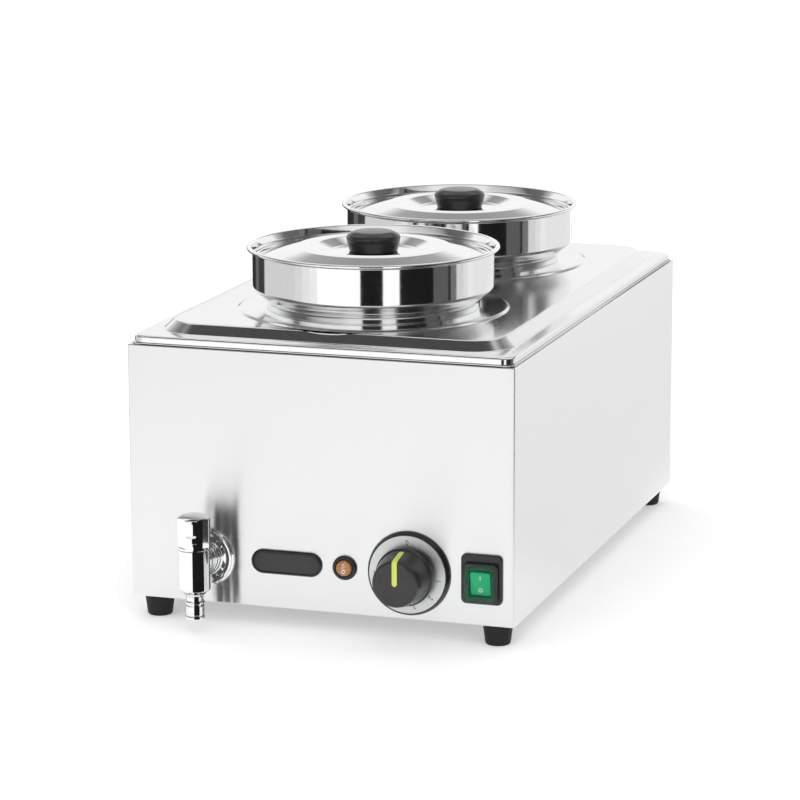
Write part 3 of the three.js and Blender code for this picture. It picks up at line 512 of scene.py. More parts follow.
def pot_plate():
    """Pressed plate: lip, flat margin, bevel up to the field, and a raised pad round each pot."""
    lo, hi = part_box("pot_plate")
    half_x, half_y = hi.x, (hi.y - lo.y) / 2
    pad = hi.z
    field = pad - 1.5 * MM
    margin = field - 8.2 * MM
    margin_x, margin_y, run = 12 * MM, 15 * MM, 8.5 * MM
    # (inset from the lip, height, fillet) from the lip's edge up to the field
    rise = soften([
        (0, lo.z), (0, margin, 1.8 * MM), (margin_x, margin, 2.2 * MM),
        (margin_x + run, field, 2.6 * MM), (margin_x + run + 4 * MM, field),
    ], steps=8)

    def outline(inset):
        """Corner radius opens from the lip's to the bevel's as the inset grows."""
        share = min(inset / margin_x, 1)
        radius = (11 + (36 - 11) * share) * MM - max(inset - margin_x, 0) * 0.7
        extra = (margin_y - margin_x) * share
        return rounded_rect(half_x - inset, half_y - inset - extra, radius, arc=20, centre_xy=(0, MID_Y))

    bm = bmesh.new()
    rings = [[bm.verts.new((x, y, p.y)) for x, y in outline(p.x)] for p in rise]
    ring_faces(bm, rings)
    open_edges = [bm.edges.get((rings[-1][k], rings[-1][k - 1])) for k in range(len(rings[-1]))]
    hole_r = 90.9 * MM
    pad_r = 118 * MM
    for name in ("pot_front", "pot_rear"):
        y = centre(name).y
        # (radius, height, fillet) from the field in to the hole's turned-down edge
        step = soften([
            (pad_r + 4 * MM, field), (pad_r, field, 1.6 * MM), (pad_r - 2.6 * MM, pad, 2.0 * MM),
            (hole_r, pad, 0.8 * MM), (hole_r, pad - 3.5 * MM),
        ], steps=6)
        loops = [[bm.verts.new((px, py, p.y)) for px, py in circle(p.x, 160, 0, y)] for p in step]
        ring_faces(bm, loops)
        open_edges += [bm.edges.get((loops[0][k], loops[0][k - 1])) for k in range(160)]
    bmesh.ops.triangle_fill(bm, use_beauty=True, use_dissolve=False, edges=open_edges)
    obj = finish_mesh("pot_plate_pressing", bm, sharp=60)
    thick = obj.modifiers.new("sheet", "SOLIDIFY")
    thick.thickness = SHEET
    thick.offset = -1
    apply_modifiers(obj, sharp=60)
    return fit(obj, "plate", "polished_steel", PLATE_STEEL, "pot_plate")


# ---- Pots, lids and their knobs ----
LID_BORE_R = 2.3        # millimetres, for the knob's screw


def pot(which):
    """Rolled rim over a drum, and a shoulder in to the neck that hangs through the plate."""
    lo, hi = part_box(f"pot_{which}")
    place = Vector((0, (lo.y + hi.y) / 2, 0))
    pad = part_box("pot_plate")[1].z / MM
    rim_r = (hi.x - lo.x) / 2 / MM
    floor, rim_z = lo.z / MM, hi.z / MM
    drum, neck, t = 104.5, 89.5, SHEET / MM
    shoulder = pad + 18
    bead = 1.3
    profile = soften(in_mm([
        (0, floor), (neck - 1, floor, 12), (neck, pad - 2.5, 1), (neck + 2.6, pad + 0.5, 0.8),
        (neck + 2.8, pad + 6, 5), (drum, shoulder - 1, 5), (drum, rim_z - 3.6, 1),
        (rim_r - 2 * bead, rim_z - 2.3 * bead, 0.6), (rim_r, rim_z - 2 * bead, bead * 0.95),
        (rim_r, rim_z, bead * 0.95), (rim_r - 3 * bead, rim_z, 1.2), (drum - t, rim_z - 6, 3),
        (drum - t, rim_z - 9.8, 0.6), (drum - t - 1.3, rim_z - 10.6, 0.6),
        (drum - t - 1.3, shoulder + 1, 6), (neck - t + 1.6, pad + 7, 4), (neck - t, pad + 1, 2),
        (neck - t - 1, floor + t, 11), (0, floor + t),
    ]), steps=8)
    obj = revolve(f"pot_{which}_shell", profile, place, segments=160, closed=False, sharp=45)
    return fit(obj, f"pot_{which}", "polished_steel", MIRROR, f"pot_{which}")


def lid(which):
    """Shallow cone with a rolled edge, rising to a ridge round a dished middle."""
    lo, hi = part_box(f"lid_{which}")
    place = Vector((0, (lo.y + hi.y) / 2, 0))
    top, edge_z = hi.z / MM, lo.z / MM
    edge = (hi.x - lo.x) / 2 / MM
    dish = (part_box(f"lid_knob_{which}")[0].z - GAP) / MM
    t = 0.8
    upper = [
        (edge, edge_z + t, 0.35), (edge - 3, edge_z + t, 1.5), (66, top - 0.7, 9),
        (57, top + 0.05, 8), (50.5, top - 0.4, 4), (38.5, dish, 4), (LID_BORE_R, dish),
    ]
    lower = [(r, z - t, *rest) for r, z, *rest in reversed(upper[1:])]
    profile = soften(in_mm([*upper, *lower, (edge, edge_z, 0.35)]), closed=True, steps=8)
    obj = revolve(f"lid_{which}_shell", profile, place, segments=160, sharp=50)
    return fit(obj, f"lid_{which}", "polished_steel", MIRROR, f"lid_{which}")


def lid_knob(which):
    """Mushroom knob with a hole in its foot for the screw."""
    lo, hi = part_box(f"lid_knob_{which}")
    place = Vector((0, (lo.y + hi.y) / 2, lo.z))
    r, h = (hi.x - lo.x) / 2 / MM, (hi.z - lo.z) / MM
    profile = soften(in_mm([
        (0, 11), (LID_BORE_R, 11), (LID_BORE_R, 0), (r - 3, 0, 0.7), (r - 1.2, h * 0.36, 10),
        (r + 0.15, h * 0.74, 3.6), (r - 6.5, h * 0.97, 9), (0, h),
    ]), steps=8)
    obj = revolve(f"lid_knob_{which}_grip", profile, place, segments=96, closed=False, sharp=50)
    return fit(obj, f"lid_{which}", "knob_plastic", KNOB_BLACK, f"lid_knob_{which}")


# ---- Drain tap ----
TAP = centre("tap_handle")
TAP_AXIS = Vector((TAP.x, TAP.y, 0))
HANDLE_TURN = math.radians(12.5)      # its flats are set a little off the panel's square
TAP_BORE_R = 5.3        # millimetres, the water's way through the neck and the spout


def tap_body():
    """Barrel with its neck back through the panel, and the ring nuts on the neck."""
    lo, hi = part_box("tap_body")
    r = (hi.x - lo.x) / 2
    barrel = revolve("tap_body_barrel", soften([
        (0, lo.z), (r - 3.5 * MM, lo.z, 0.8 * MM), (r, lo.z + 2.6 * MM, 1.4 * MM),
        (r, hi.z, 0.5 * MM), (0, hi.z),
    ], steps=8), TAP_AXIS, segments=96, closed=False)
    at_panel = Vector((TAP.x, FRONT_Y, centre("tap_escutcheon").z))
    axis = (FRONT_Y - TAP.y) / MM       # the barrel's axis, out from the panel
    end = (FRONT_Y - hi.y) / MM         # the neck's inner end, behind the panel
    neck = soften(in_mm([
        (0, end), (9, end, 0.4), (9, 9.6, 0.3), (10.8, 9.8, 0.5), (10.8, 12, 0.5), (9.4, 12.4, 0.4),
        (9.4, 13.2, 0.4), (10.2, 13.5, 0.5), (10.2, 15, 0.5), (8.6, 15.6, 0.6), (8.2, 17, 1),
        (8.6, axis), (0, axis),
    ]), steps=5)
    stem = revolve("cutter", neck, at_panel, "front", 96, closed=False)
    carve(barrel, [stem], "UNION")
    bores = [
        cylinder(TAP_AXIS, 7.8 * MM, lo.z + 4 * MM, hi.z + 1 * MM),
        cylinder(TAP_AXIS, TAP_BORE_R * MM, lo.z - 1 * MM, lo.z + 5 * MM),
        cylinder(at_panel, TAP_BORE_R * MM, (end - 1) * MM, axis * MM, "front"),
    ]
    return fit(carve(barrel, bores), "casing", "tap_chrome", CHROME, "tap_body")


def tap_nozzle():
    """Stepped spout under the barrel."""
    lo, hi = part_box("tap_nozzle")
    top = (hi.z - lo.z) / MM
    profile = soften(in_mm([
        (TAP_BORE_R, 0), (7.2, 0, 0.4), (7.5, 1.1, 0.4), (8.1, 1.4, 0.4), (8.1, 3.2, 0.5),
        (7.3, 3.9, 0.3), (7.9, 4.8, 0.6), (7.9, 12.4, 0.8), (7, 13.2, 0.3), (7, 14, 0.3),
        (8.3, 14.6, 0.5), (8.3, 16, 0.5), (7.1, 16.8, 0.3), (7.1, 20.3, 0.8), (9.9, top, 0.3),
        (TAP_BORE_R, top),
    ]), closed=True, steps=5)
    obj = revolve("tap_nozzle_spout", profile, TAP_AXIS + Vector((0, 0, lo.z)), segments=80)
    return fit(obj, "casing", "tap_chrome", CHROME, "tap_nozzle")


def tap_escutcheon():
    """Wall plate: flat rim, a raised bead, then a hollow rising to the neck."""
    lo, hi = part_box("tap_escutcheon")
    r = (hi.x - lo.x) / 2 / MM
    at = Vector((TAP.x, FRONT_Y, (lo.z + hi.z) / 2))
    bore = 9.3
    back = GAP / MM
    profile = soften(in_mm([
        (bore, back), (r, back, 0.3), (r, 1.6, 0.8), (r - 1.4, 2.2, 0.5), (r - 1.8, 3.6, 0.9),
        (r - 3.4, 4, 0.9), (r - 6, 3.6, 3), (15.4, 4.2, 1), (14.8, 5.6, 0.5), (13.6, 5.6, 0.3),
        (13.2, 7.1, 0.5), (12, 7.1, 0.3), (11.6, 8.6, 0.5), (10.6, 8.6, 0.2), (10.3, 9.3, 0.3),
        (bore, 9.3),
    ]), closed=True, steps=7)
    obj = revolve("tap_escutcheon_plate", profile, at, "front", 128)
    return fit(obj, "casing", "tap_chrome", CHROME, "tap_escutcheon")


def tap_handle():
    """Domed cap with four flats, and a pocket over a shallow window in its front."""
    lo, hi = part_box("tap_handle")
    r, height = (hi.x - lo.x) / 2 / MM, (hi.z - lo.z) / MM
    base = TAP_AXIS + Vector((0, 0, lo.z))
    cap = revolve("tap_handle_cap", soften(in_mm([
        (0, 0), (r - 0.4, 0, 0.4), (r, 0.5, 0.3), (r, height - 3.4, 1.6), (r * 0.72, height - 0.9, 12),
        (0, height),
    ]), steps=10), base, segments=128, closed=False)
    flat_out = r - 1.3
    flats = [(block(*in_mm([(-7.5, -r - 8, 2), (7.5, -flat_out, height + 4)])),
              HANDLE_TURN + (k + 0.5) * math.pi / 2) for k in range(4)]
    window = block(*in_mm([(-6.6, -r - 5, -6), (6.6, 0.9 - r, 7.2)]), 0.9 * MM)
    deep = r - 2.3
    pocket = prism("cutter", in_mm([
        (height - 5.5, r + 3), (height - 6.6, deep), (height - 16.5, deep), (height - 20.5, r + 3),
    ]), 4.7 * MM)
    socket = block(*in_mm([(-4, -4, -1), (4, 4, 16)]))
    tools = [*flats, (window, HANDLE_TURN), (pocket, HANDLE_TURN), (socket, 0)]
    for tool, turn in tools:
        tool.data.transform(Matrix.Translation(base) @ Matrix.Rotation(turn, 4, "Z"))
    obj = carve(cap, [tool for tool, _ in tools], sharp=24)
    return fit(obj, "tap_valve", "tap_chrome", CHROME, "tap_handle")


# ---- Thermostat dial ----
DIAL = Vector((centre("dial_bezel").x, FRONT_Y, centre("dial_bezel").z))
DIAL_R = size("dial_bezel").x / 2
DIAL_T = FRONT_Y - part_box("dial_bezel")[0].y
SCALE_R = size("dial_scale_ring").x / 2
SCALE_TOP = FRONT_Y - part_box("dial_scale_ring")[0].y
NUMERAL_STEP = 34.8         # degrees between the numerals 1 to 6
FIRST_NUMERAL = 97          # degrees from 0 to 1
NUMERAL_RING_R = 27.3 * MM
NUMERAL_HEIGHT = 4.6 * MM
NUMERAL_WIDTH = 0.8         # share of the font's own width
FONT_PER_HEIGHT = 1.42      # font size for a numeral one unit high
KNOB_FACE_R = 19.2 * MM


def dial_bezel():
    profile = soften([
        (5 * MM, GAP), (DIAL_R, GAP, 0.3 * MM), (DIAL_R, 1.7 * MM, 1.6 * MM),
        (DIAL_R - 1.7 * MM, DIAL_T, 0.7 * MM), (SCALE_R + GAP, DIAL_T, 0.2 * MM),
        (SCALE_R + GAP, DIAL_T - 1.2 * MM), (5 * MM, DIAL_T - 1.2 * MM),
    ], closed=True)
    obj = revolve("dial_bezel_ring", profile, DIAL, "front", 160)
    return fit(obj, "casing", "black_plastic", BLACK, "dial_bezel")


def scale_ring():
    profile = soften([
        (15 * MM, SCALE_TOP - 0.8 * MM), (SCALE_R, SCALE_TOP - 0.8 * MM),
        (SCALE_R, SCALE_TOP, 0.25 * MM), (15 * MM, SCALE_TOP, 0.25 * MM),
    ], closed=True)
    obj = revolve("dial_scale_face", profile, DIAL, "front", 160)
    return fit(obj, "casing", "scale_silver", SCALE_SILVER, "dial_scale_ring")


def numeral(name, text, at, angle):
    """A thin numeral facing out of the front panel at a point, turned clockwise."""
    curve = bpy.data.curves.new(name, "FONT")
    curve.body = text
    curve.size = NUMERAL_HEIGHT * FONT_PER_HEIGHT
    curve.align_x = "CENTER"
    curve.align_y = "CENTER"
    curve.extrude = 0.05 * MM
    source = bpy.data.objects.new(name, curve)
    mesh = bpy.data.meshes.new_from_object(source)
    bpy.data.objects.remove(source)
    turn = Matrix.Rotation(-angle, 4, "Z") @ Matrix.Diagonal((NUMERAL_WIDTH, 1, 1, 1))
    mesh.transform(Matrix.Translation(at) @ AXES["front"] @ turn)
    obj = bpy.data.objects.new(name, mesh)
    bpy.context.scene.collection.objects.link(obj)
    return obj


def numerals():
    angles = [0] + [FIRST_NUMERAL + k * NUMERAL_STEP for k in range(6)]
    for k, degrees in enumerate(angles):
        a = math.radians(degrees)
        at = DIAL + Vector((NUMERAL_RING_R * math.sin(a), -SCALE_TOP, NUMERAL_RING_R * math.cos(a)))
        fit(numeral(f"dial_numeral_{k}", str(k), at, a), "casing", "black_plastic", DARK_MARK)


def thermostat_knob():
    """Hollow skirt, a side that narrows to the face, and the socket for the shaft."""
    lo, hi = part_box("thermostat_knob")
    r = (hi.x - lo.x) / 2 / MM
    out = (FRONT_Y - lo.y) / MM
    face = KNOB_FACE_R / MM
    shaft, hollow = 3.3, 15
    back, skirt = 7.7, 13
    profile = soften(in_mm([
        (0, out - 10), (shaft, out - 10), (shaft, back), (hollow, back, 0.5), (hollow, skirt),
        (r, skirt, 0.5), (r, skirt + 2.4, 0.8), (r - 1.3, skirt + 3.4, 0.6),
        (face + 1.6, out - 6.4, 30), (face + 0.4, out - 1.6, 0.6), (face + 0.1, out - 0.9, 0.8),
        (face - 1.4, out, 1.2), (0, out),
    ]), steps=7)
    obj = revolve("thermostat_knob_grip", profile, DIAL, "front", 128, closed=False)
    return fit(obj, "dial", "knob_plastic", KNOB_BLACK, "thermostat_knob")


def knob_pointer():
    """Inlay from the middle of the knob's face over its edge and down the side."""
    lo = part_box("thermostat_knob")[0]
    out = FRONT_Y - lo.y
    half = 2.2 * MM
    lift = 0.35 * MM
    face = KNOB_FACE_R
    path = soften([
        (-1.5 * MM, out + lift), (face - 0.2 * MM, out + lift, 1.2 * MM),
        (face + 1.3 * MM, out - 3 * MM, 1.5 * MM), (face + 4.1 * MM, 19.5 * MM),
    ], steps=6)
    fine = []
    for a, b in zip(path, path[1:]):
        steps = max(1, round((b - a).length / (1.2 * MM)))
        fine += [a.lerp(b, s / steps) for s in range(steps)]
    fine.append(path[-1])
    lengths = [0.0]
    for a, b in zip(fine, fine[1:]):
        lengths.append(lengths[-1] + (b - a).length)
    total = lengths[-1]
    bm = bmesh.new()
    rows = []
    for k, point in enumerate(fine):
        ahead = fine[min(k + 1, len(fine) - 1)] - fine[max(k - 1, 0)]
        normal = Vector((-ahead.y, ahead.x)).normalized()
        if normal.y < 0 and abs(normal.y) > abs(normal.x):
            normal = -normal
        if normal.x < 0 and abs(normal.x) >= abs(normal.y):
            normal = -normal
        from_end = min(lengths[k], total - lengths[k])
        width = half * math.sqrt(max(0.02, 1 - max(0, 1 - from_end / half) ** 2))
        low = point - normal * 0.9 * MM
        section = [(-width, low), (-width, point - normal * 0.2 * MM), (-width * 0.86, point),
                   (width * 0.86, point), (width, point - normal * 0.2 * MM), (width, low)]
        rows.append([bm.verts.new((x, p.x, p.y)) for x, p in section])
    ring_faces(bm, rows)
    bm.faces.new(rows[0])
    bm.faces.new(rows[-1])
    obj = finish_mesh("knob_pointer_inlay", bm, sharp=50)
    obj.data.transform(Matrix.Translation(DIAL) @ AXES["front"])
    return fit(obj, "dial", "pointer_yellow", YELLOW, "knob_pointer")


# ---- Lamp, badge and switch ----
def pilot_lamp():
    """Black bezel round a domed lens with fine ribs and a mark; the ribs are coloured a lighter amber than
    the lens, a painted highlight.
    """
    at = Vector((centre("lamp_body").x, FRONT_Y, centre("lamp_body").z))
    r, gap = size("lamp_body").x / 2 / MM, GAP / MM
    body, seat, lens_r = 7.7, 7.4, 7.1
    bezel = revolve("lamp_bezel_ring", soften(in_mm([
        (0, -22), (body, -22), (body, gap), (r, gap, 0.3), (r, 2.4, 1.6), (seat + 0.6, 3.1, 0.6),
        (seat, 2.4), (seat, -4), (0, -4),
    ]), steps=7), at, "front", 96, closed=False)
    fit(bezel, "casing", "black_plastic", BLACK, "lamp_body")
    lens = revolve("lamp_lens_dome", soften(in_mm([
        (0, -3.6), (lens_r, -3.6), (lens_r, 2.9, 0.9), (lens_r * 0.6, 4.4, 5), (0, 4.7),
    ]), steps=8), at, "front", 96, closed=False)
    fit(lens, "casing", "lamp_amber", AMBER, "lamp_lens")
    for k in range(-5, 6):
        z = k * 1.15
        half = math.sqrt((lens_r - 0.8) ** 2 - z * z)
        out = 4.75 - (z / lens_r) ** 2 * 1.1
        rib = panel_block(at + Vector((0, 0, z * MM)), half * MM, 0.22 * MM, out * MM, (1.2 - out) * MM,
                          0.1 * MM, f"lamp_rib_{k + 5}")
        # each rib gets the lighter amber, a painted highlight along the rib
        fit(rib, "casing", "lamp_amber", AMBER_RIB_PAINTED_HIGHLIGHT)
    lamp_mark(at)


def lamp_mark(at):
    """Outlined thermometer: two thin uprights that meet at the top, over a ring."""
    back, front = 4.4, 5

    def bar(name, x, z, half_x, half_z):
        piece = panel_block(at + Vector((x, 0, z)) * MM, half_x * MM, half_z * MM, front * MM, -back * MM,
                            0.06 * MM, name)
        fit(piece, "casing", "lamp_amber", WHITE_MARK)

    for side in (-1, 1):
        bar(f"lamp_mark_upright_{side + 2}", side * 0.7, 1.35, 0.15, 2.55)
    bar("lamp_mark_top", 0, 3.95, 0.85, 0.15)
    ring = soften(in_mm([(1.1, back), (1.6, back), (1.6, front, 0.1), (1.1, front, 0.1)]), closed=True)
    bulb = revolve("lamp_mark_bulb", ring, at + Vector((0, 0, -2.6 * MM)), "front", 32)
    fit(bulb, "casing", "lamp_amber", WHITE_MARK)


def badge():
    """Plain pill with a fine raised border; it carries no mark."""
    lo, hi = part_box("badge")
    place = Vector(((lo.x + hi.x) / 2, FRONT_Y, (lo.z + hi.z) / 2))
    half_x, half_z = (hi.x - lo.x) / 2, (hi.z - lo.z) / 2
    depth = (FRONT_Y - lo.y) / MM

    def pill(inset):
        return rounded_rect(half_x - inset, half_z - inset, half_z - inset - 0.01 * MM, arc=18)

    rim = in_mm([(0, GAP / MM), (0, depth - 1.5), (0.3, depth - 0.7), (0.9, depth - 0.15), (1.4, depth),
                 (1.9, depth - 0.15), (2.3, depth - 0.9)])
    fit(slab("badge_pill", pill, rim, place, "front"), "casing", "black_plastic", BLACK, "badge")
    face = in_mm([(2.4, depth - 0.85), (2.4, depth - 0.65), (2.7, depth - 0.55)])
    fit(slab("badge_face", pill, face, place, "front"), "casing", "black_plastic", FACE_BLACK)


def switch_housing():
    """Frame on the panel, a collar round the cover, the body behind and the rocker's well."""
    house, half = centre("switch_housing"), size("switch_housing") / 2
    cover, cover_half = centre("switch_cover"), size("switch_cover") / 2
    place = Vector((house.x, FRONT_Y, house.z))

    def frame_outline(inset):
        return rounded_rect(half.x - inset, half.z - inset, 4.6 * MM - inset, arc=10)

    def collar_outline(inset):
        margin = 1.6 * MM - inset
        return rounded_rect(cover_half.x + margin, cover_half.z + margin, 3.6 * MM, arc=8,
                            centre_xy=(0, cover.z - house.z))

    housing = slab("switch_housing_frame", frame_outline, edge_profile(2.3 * MM, 0.9 * MM, start=GAP),
                   place, "front")
    collar = slab("cutter", collar_outline, edge_profile(6 * MM, 0.8 * MM, start=1 * MM), place, "front")
    carve(housing, [collar], "UNION")
    rear = panel_block(place, SWITCH_HALF_W, SWITCH_HALF_H, 1 * MM, 28 * MM)
    carve(housing, [rear], "UNION")
    well = panel_block(Vector((house.x, 0, cover.z)), 9.6 * MM, 11.2 * MM, 9 * MM, 5 * MM)
    fit(carve(housing, [well]), "casing", "black_plastic", BLACK, "switch_housing")


def switch_cover():
    """Clear splash cover: a soft-edged shell, open towards the rocker."""
    cover, half = centre("switch_cover"), size("switch_cover") / 2
    at = Vector((cover.x, FRONT_Y, cover.z))
    back = 7.3 * MM
    depth = FRONT_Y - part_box("switch_cover")[0].y - back
    wall = 1.2 * MM

    def outline(inset, corner, least):
        return rounded_rect(half.x - inset, half.z - inset, max(corner, least), arc=8)

    shell = slab("switch_cover_dome", lambda i: outline(i, 4.2 * MM - i, 1 * MM),
                 edge_profile(depth, 1.5 * MM, start=back), at, "front")
    hollow = slab("cutter", lambda i: outline(wall + i, 3.2 * MM - i, 0.8 * MM),
                  edge_profile(depth - 0.4 * MM, 0.8 * MM, start=back - 0.8 * MM), at, "front")
    fit(carve(shell, [hollow]), "casing", "cover_green", GREEN_CLEAR, "switch_cover")


def rocker():
    """Rocker with two shallow faces and its on and off marks, tipped to off."""
    at = Vector((centre("switch_cover").x, FRONT_Y, centre("switch_cover").z))
    tilt = Matrix.Rotation(math.radians(8), 4, "X")
    end = 10
    outline = in_mm([(-end, 2), (-3, -3.4), (3, -3.4), (end, 2), (end, 5.6, 0.5), (0, 5, 6),
                     (-end, 5.6, 0.5)])
    body = prism("switch_rocker_key", soften(outline, closed=True), 8.5 * MM)
    body.data.transform(Matrix.Translation(at) @ AXES["front"] @ tilt @ AXES["front"].inverted())
    fit(body, "rocker", "switch_green", GREEN, "switch_rocker")
    low, high = 5.1, 5.65
    bar = block(*in_mm([(-0.4, 3.4, low), (0.4, 7.2, high)]), 0.1 * MM, "rocker_mark_on")
    circle_mark = in_mm([(1.2, low), (1.85, low), (1.85, high), (1.2, high)])
    place = Vector((0, -5.3, 0)) * MM
    ring = revolve("rocker_mark_off", soften(circle_mark, closed=True), place, segments=40)
    for mark in (bar, ring):
        mark.data.transform(Matrix.Translation(at) @ AXES["front"] @ tilt)
        fit(mark, "rocker", "switch_green", WHITE_MARK)


# ---- Rear fittings ----
def cord_gland():
    """Cable gland: hexagon against the wall, domed nut with grip ribs, and an open mouth."""
    lo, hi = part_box("cord_gland")
    at = Vector(((lo.x + hi.x) / 2, REAR_Y, (lo.z + hi.z) / 2))
    out = (hi.y - REAR_Y) / MM
    inner = (lo.y - REAR_Y) / MM
    mouth, thread, nut = 4, 8, 10.4
    core = revolve("cord_gland_body", soften(in_mm([
        (mouth, inner), (thread, inner, 0.4), (thread, 4), (nut, 5, 0.5), (nut, out - 7, 2),
        (7.6, out, 1), (5, out, 0.5), (mouth, out - 2, 0.5),
    ]), closed=True), at, "rear", 72)
    hexagon = circle(12 * MM, 6)
    collar = loft("cutter", [(hexagon, GAP), (hexagon, 5.4 * MM)], at, "rear")
    carve(core, [collar], "UNION")
    through = cylinder(at, mouth * MM, (inner - 1) * MM, (out + 1) * MM, "rear")
    carve(core, [through])
    ribs = []
    for x, z in circle(10.2 * MM, 12):
        rib_at = at + Vector((x, 0, z))
        ribs.append(cylinder(rib_at, 0.7 * MM, 5.4 * MM, (out - 8) * MM, "rear", 10))
    return fit(carve(core, ribs, "UNION"), "casing", "black_plastic", BLACK, "cord_gland")


def reset_button():
    lo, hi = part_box("reset_button")
    at = Vector(((lo.x + hi.x) / 2, REAR_Y, (lo.z + hi.z) / 2))
    inner, out = lo.y - REAR_Y, hi.y - REAR_Y
    r = (hi.z - lo.z) / 2
    obj = revolve("reset_button_cap", soften([
        (0, inner), (r, inner, 0.3 * MM), (r, out, 0.8 * MM), (0, out)]), at, "rear", 40, closed=False)
    return fit(obj, "reset", "reset_red", RED, "reset_button")


# ---- CAD nodes that stay ----
KEPT = {
    "zinc_steel": ZINC, "brass": BRASS, "aluminium": ALUMINIUM, "black_plastic": BLACK,
    "black_rubber": RUBBER, "ceramic_white": CERAMIC, "satin_steel": SATIN, "tap_chrome": CHROME,
}


def dress_kept_nodes():
    """Procedural materials on every CAD node that no finer piece replaces."""
    for row in frame["record"]["subparts"]:
        if row["material_slot"] in KEPT:
            obj = frame["nodes"][row["node"]]
            obj.data.materials.clear()
            obj.data.materials.append(KEPT[row["material_slot"]])
            obj.data.shade_smooth()
            obj.data.set_sharp_from_angle(angle=math.radians(35))


# ---- Studio ----
def plain(name, tone, glow=0.0):
    """A matt grey for the stage, which may glow a little like a light table."""
    material, _, shader = blank(name)
    shader.inputs["Base Color"].default_value = (tone, tone, tone, 1)
    shader.inputs["Roughness"].default_value = 1
    shader.inputs["Specular IOR Level"].default_value = 0
    shader.inputs["Emission Color"].default_value = (1, 1, 1, 1)
    shader.inputs["Emission Strength"].default_value = glow
    return material


def plane(name, corners, material):
    bm = bmesh.new()
    bm.faces.new([bm.verts.new(c) for c in corners])
    obj = finish_mesh(name, bm)
    obj.data.materials.append(material)
    return obj


def reflection_only(obj):
    """A card that is seen in polished metal and nowhere else."""
    obj.visible_camera = False
    obj.visible_diffuse = False
    obj.visible_shadow = False
    obj.visible_transmission = False


VIEW_YAW = math.radians(18.30)      # the camera stands this far round from the front
VIEW_PITCH = math.radians(12.26)    # and looks this far down
VIEW_ROLL = math.radians(-0.16)
VIEW_LENS = 152.89
VIEW_OFFSET = Vector((929.49, -2863.72, 780.32)) * MM      # from the middle of the casing's bottom
POT_CENTRE = centre("pot_front")


def around(hub, degrees, radius):
    """A point on the floor round a hub. Degrees run from the front (-Y) towards +X."""
    a = math.radians(degrees)
    return (hub.x + radius * math.sin(a), hub.y - radius * math.cos(a))


def flag(name, azimuths, tone, height, hub=POT_CENTRE, radius=1.2, inner=0.6, low=0.002):
    """A dark flag standing round a hub with its foot on the floor, seen only as a reflection."""
    steps = 12
    bm = bmesh.new()
    rows = []
    for k in range(steps + 1):
        degrees = azimuths[0] + (azimuths[1] - azimuths[0]) * k / steps
        near = around(hub, degrees, inner)
        far = around(hub, degrees, radius)
        rows.append([bm.verts.new(p) for p in ((*near, low), (*far, low), (*far, height))])
    for here, ahead in zip(rows, rows[1:]):
        for edge in (0, 1):
            bm.faces.new((here[edge], ahead[edge], ahead[edge + 1], here[edge + 1]))
    obj = finish_mesh(name, bm)
    obj.data.materials.append(plain(name + "_tone", 0, glow=tone))
    reflection_only(obj)


def room():
    """White room whose brightness changes with height: a softbox above, dark overhead."""
    world = bpy.data.worlds.new("white_room")
    world.use_nodes = True
    tree = world.node_tree
    coords = node(tree, "ShaderNodeTexCoord")

    def part(axis):
        dot = node(tree, "ShaderNodeVectorMath", {1: axis}, operation="DOT_PRODUCT")
        tree.links.new(coords.outputs["Generated"], dot.inputs[0])
        return dot.outputs["Value"]

    back = part((-math.sin(VIEW_YAW), math.cos(VIEW_YAW), 0))
    side = part((math.cos(VIEW_YAW), math.sin(VIEW_YAW), 0))
    lift = node(tree, "ShaderNodeMath", operation="ARCTAN2")
    tree.links.new(part((0, 0, 1)), lift.inputs[0])
    tree.links.new(back, lift.inputs[1])
    share = node(tree, "ShaderNodeMapRange", {"From Min": 0, "From Max": math.pi})
    tree.links.new(lift.outputs["Value"], share.inputs["Value"])

    def bands(stops):
        """Brightness by angle up from the back of the room, over the top, to the front."""
        ramp = node(tree, "ShaderNodeValToRGB")
        marks = ramp.color_ramp.elements
        for degrees, tone in stops[1:-1]:
            marks.new(degrees / 180).color = (tone, tone, tone, 1)
        for end in (0, -1):
            marks[end].color = (*([stops[end][1]] * 3), 1)
        tree.links.new(share.outputs["Result"], ramp.inputs["Fac"])
        return ramp.outputs["Color"]

    middle = bands([(0, 1), (19, 1), (27, 0.42), (40, 0.3), (46, 1), (73, 1), (79, 0.07), (118, 0.06),
                    (126, 0.8), (180, 1)])
    flank = bands([(0, 1), (24, 1), (36, 0.5), (60, 0.16), (120, 0.12), (150, 0.7), (180, 1)])
    away = node(tree, "ShaderNodeMath", operation="ABSOLUTE")
    tree.links.new(side, away.inputs[0])
    edge = node(tree, "ShaderNodeMapRange", {"From Min": 0.42, "From Max": 0.55})
    tree.links.new(away.outputs["Value"], edge.inputs["Value"])
    mix = node(tree, "ShaderNodeMix", data_type="RGBA")
    tree.links.new(edge.outputs["Result"], mix.inputs["Factor"])
    tree.links.new(middle, mix.inputs["A"])
    tree.links.new(flank, mix.inputs["B"])
    tree.links.new(mix.outputs["Result"], tree.nodes["Background"].inputs["Color"])
    bpy.context.scene.world = world


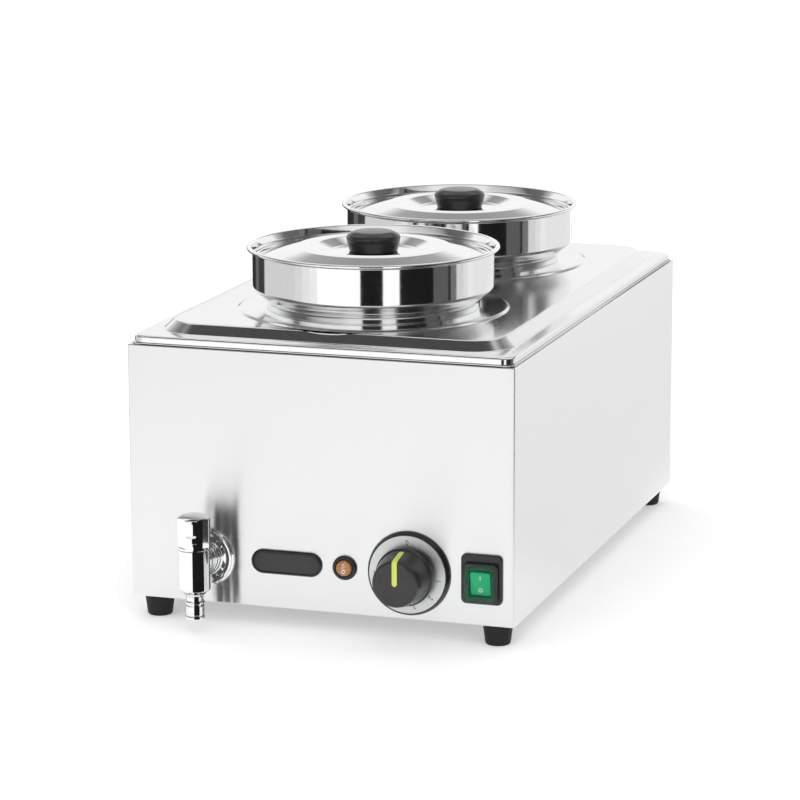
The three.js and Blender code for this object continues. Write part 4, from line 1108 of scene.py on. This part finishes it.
def studio():
    half = 30
    plane("floor", [(-half, -half, 0), (half, -half, 0), (half, half, 0), (-half, half, 0)],
          plain("floor_white", 0.9, glow=0.26))
    room()
    bpy.context.scene.view_settings.view_transform = "Standard"

    # Round the front pot, first by the right and then by the left of the camera
    tall, short = 0.9, 0.3
    for name, azimuths, tone, height in (
        ("front", (6.7, 27.2), 0.012, tall),
        ("right", (42.2, 75), 0.012, tall),
        ("right_soft", (75, 91), 0.11, tall),
        ("right_line", (91, 94), 0.03, tall),
        ("right_end", (94, 101), 0.18, tall),
        ("right_grey", (101, 110), 0.7, short),
        ("right_mid", (110, 116), 0.8, short),
        ("right_pale", (116, 124), 0.9, short),
        ("left_high", (-34, -42), 0.93, short),
        ("left_mid", (-42, -50), 0.85, short),
        ("left_low", (-50, -58), 0.76, short),
        ("left_grey", (-58, -104), 0.69, short),
        ("left_line", (-104, -118), 0.05, short),
        ("left_soft", (-118, -128), 0.14, short),
        ("left", (-128, -178), 0.03, short),
    ):
        flag(f"flag_{name}", azimuths, tone, height)

    # Close round the tap's barrel
    near_tap = {"height": 0.1, "hub": TAP_AXIS, "radius": 0.0168, "inner": 0.0165, "low": 0.008}
    flag("flag_tap", (13, 67), 0.012, **near_tap)
    for k, azimuths in enumerate(((104, 122), (129, 148), (154, 170))):
        flag(f"flag_tap_side_{k + 1}", azimuths, 0.08, **near_tap)

    # Behind the right side, for the side wall
    near, far, back, lift = 0.19, 2.5, 6, 0.001
    corners = [(near, 0, lift), (far, 0, lift), (far, back, lift), (near, back, lift)]
    reflection_only(plane("card_behind_side", corners, plain("card_tone", 0, glow=0.86)))

    lamp = bpy.data.lights.new("overhead_softbox", "SUN")
    lamp.energy = 1.85
    lamp.angle = math.radians(110)
    holder = bpy.data.objects.new("overhead_softbox", lamp)
    holder.location = (0, 0, 3)
    holder.rotation_euler = (math.radians(22), math.radians(6), 0)
    holder.visible_glossy = False
    bpy.context.scene.collection.objects.link(holder)


def camera():
    """Long lens from the front right, looking slightly down, as in the reference."""
    data = bpy.data.cameras.new("camera")
    data.sensor_width = 36
    data.lens = VIEW_LENS
    data.clip_end = 100
    obj = bpy.data.objects.new("camera", data)
    sin, cos = math.sin, math.cos
    forward = Vector((-sin(VIEW_YAW) * cos(VIEW_PITCH), cos(VIEW_YAW) * cos(VIEW_PITCH), -sin(VIEW_PITCH)))
    level = Vector((cos(VIEW_YAW), sin(VIEW_YAW), 0))
    right = level * cos(VIEW_ROLL) + level.cross(forward) * sin(VIEW_ROLL)
    up = right.cross(forward)
    turn = Matrix((right, up, -forward)).transposed().to_4x4()
    obj.matrix_world = Matrix.Translation(Vector((0, MID_Y, BASE_Z)) + VIEW_OFFSET) @ turn
    bpy.context.scene.collection.objects.link(obj)
    bpy.context.scene.camera = obj


# ---- Build ----
camera()
studio()
dress_kept_nodes()
front_panel()
body_wrap()
for side_name in ("left", "right"):
    for end_name in ("front", "rear"):
        foot(f"foot_{end_name}_{side_name}")
tank()
pot_plate()
for pot_name in ("front", "rear"):
    pot(pot_name)
    lid(pot_name)
    lid_knob(pot_name)
tap_body()
tap_nozzle()
tap_escutcheon()
tap_handle()
dial_bezel()
scale_ring()
numerals()
thermostat_knob()
knob_pointer()
pilot_lamp()
badge()
switch_housing()
switch_cover()
rocker()
cord_gland()
reset_button()
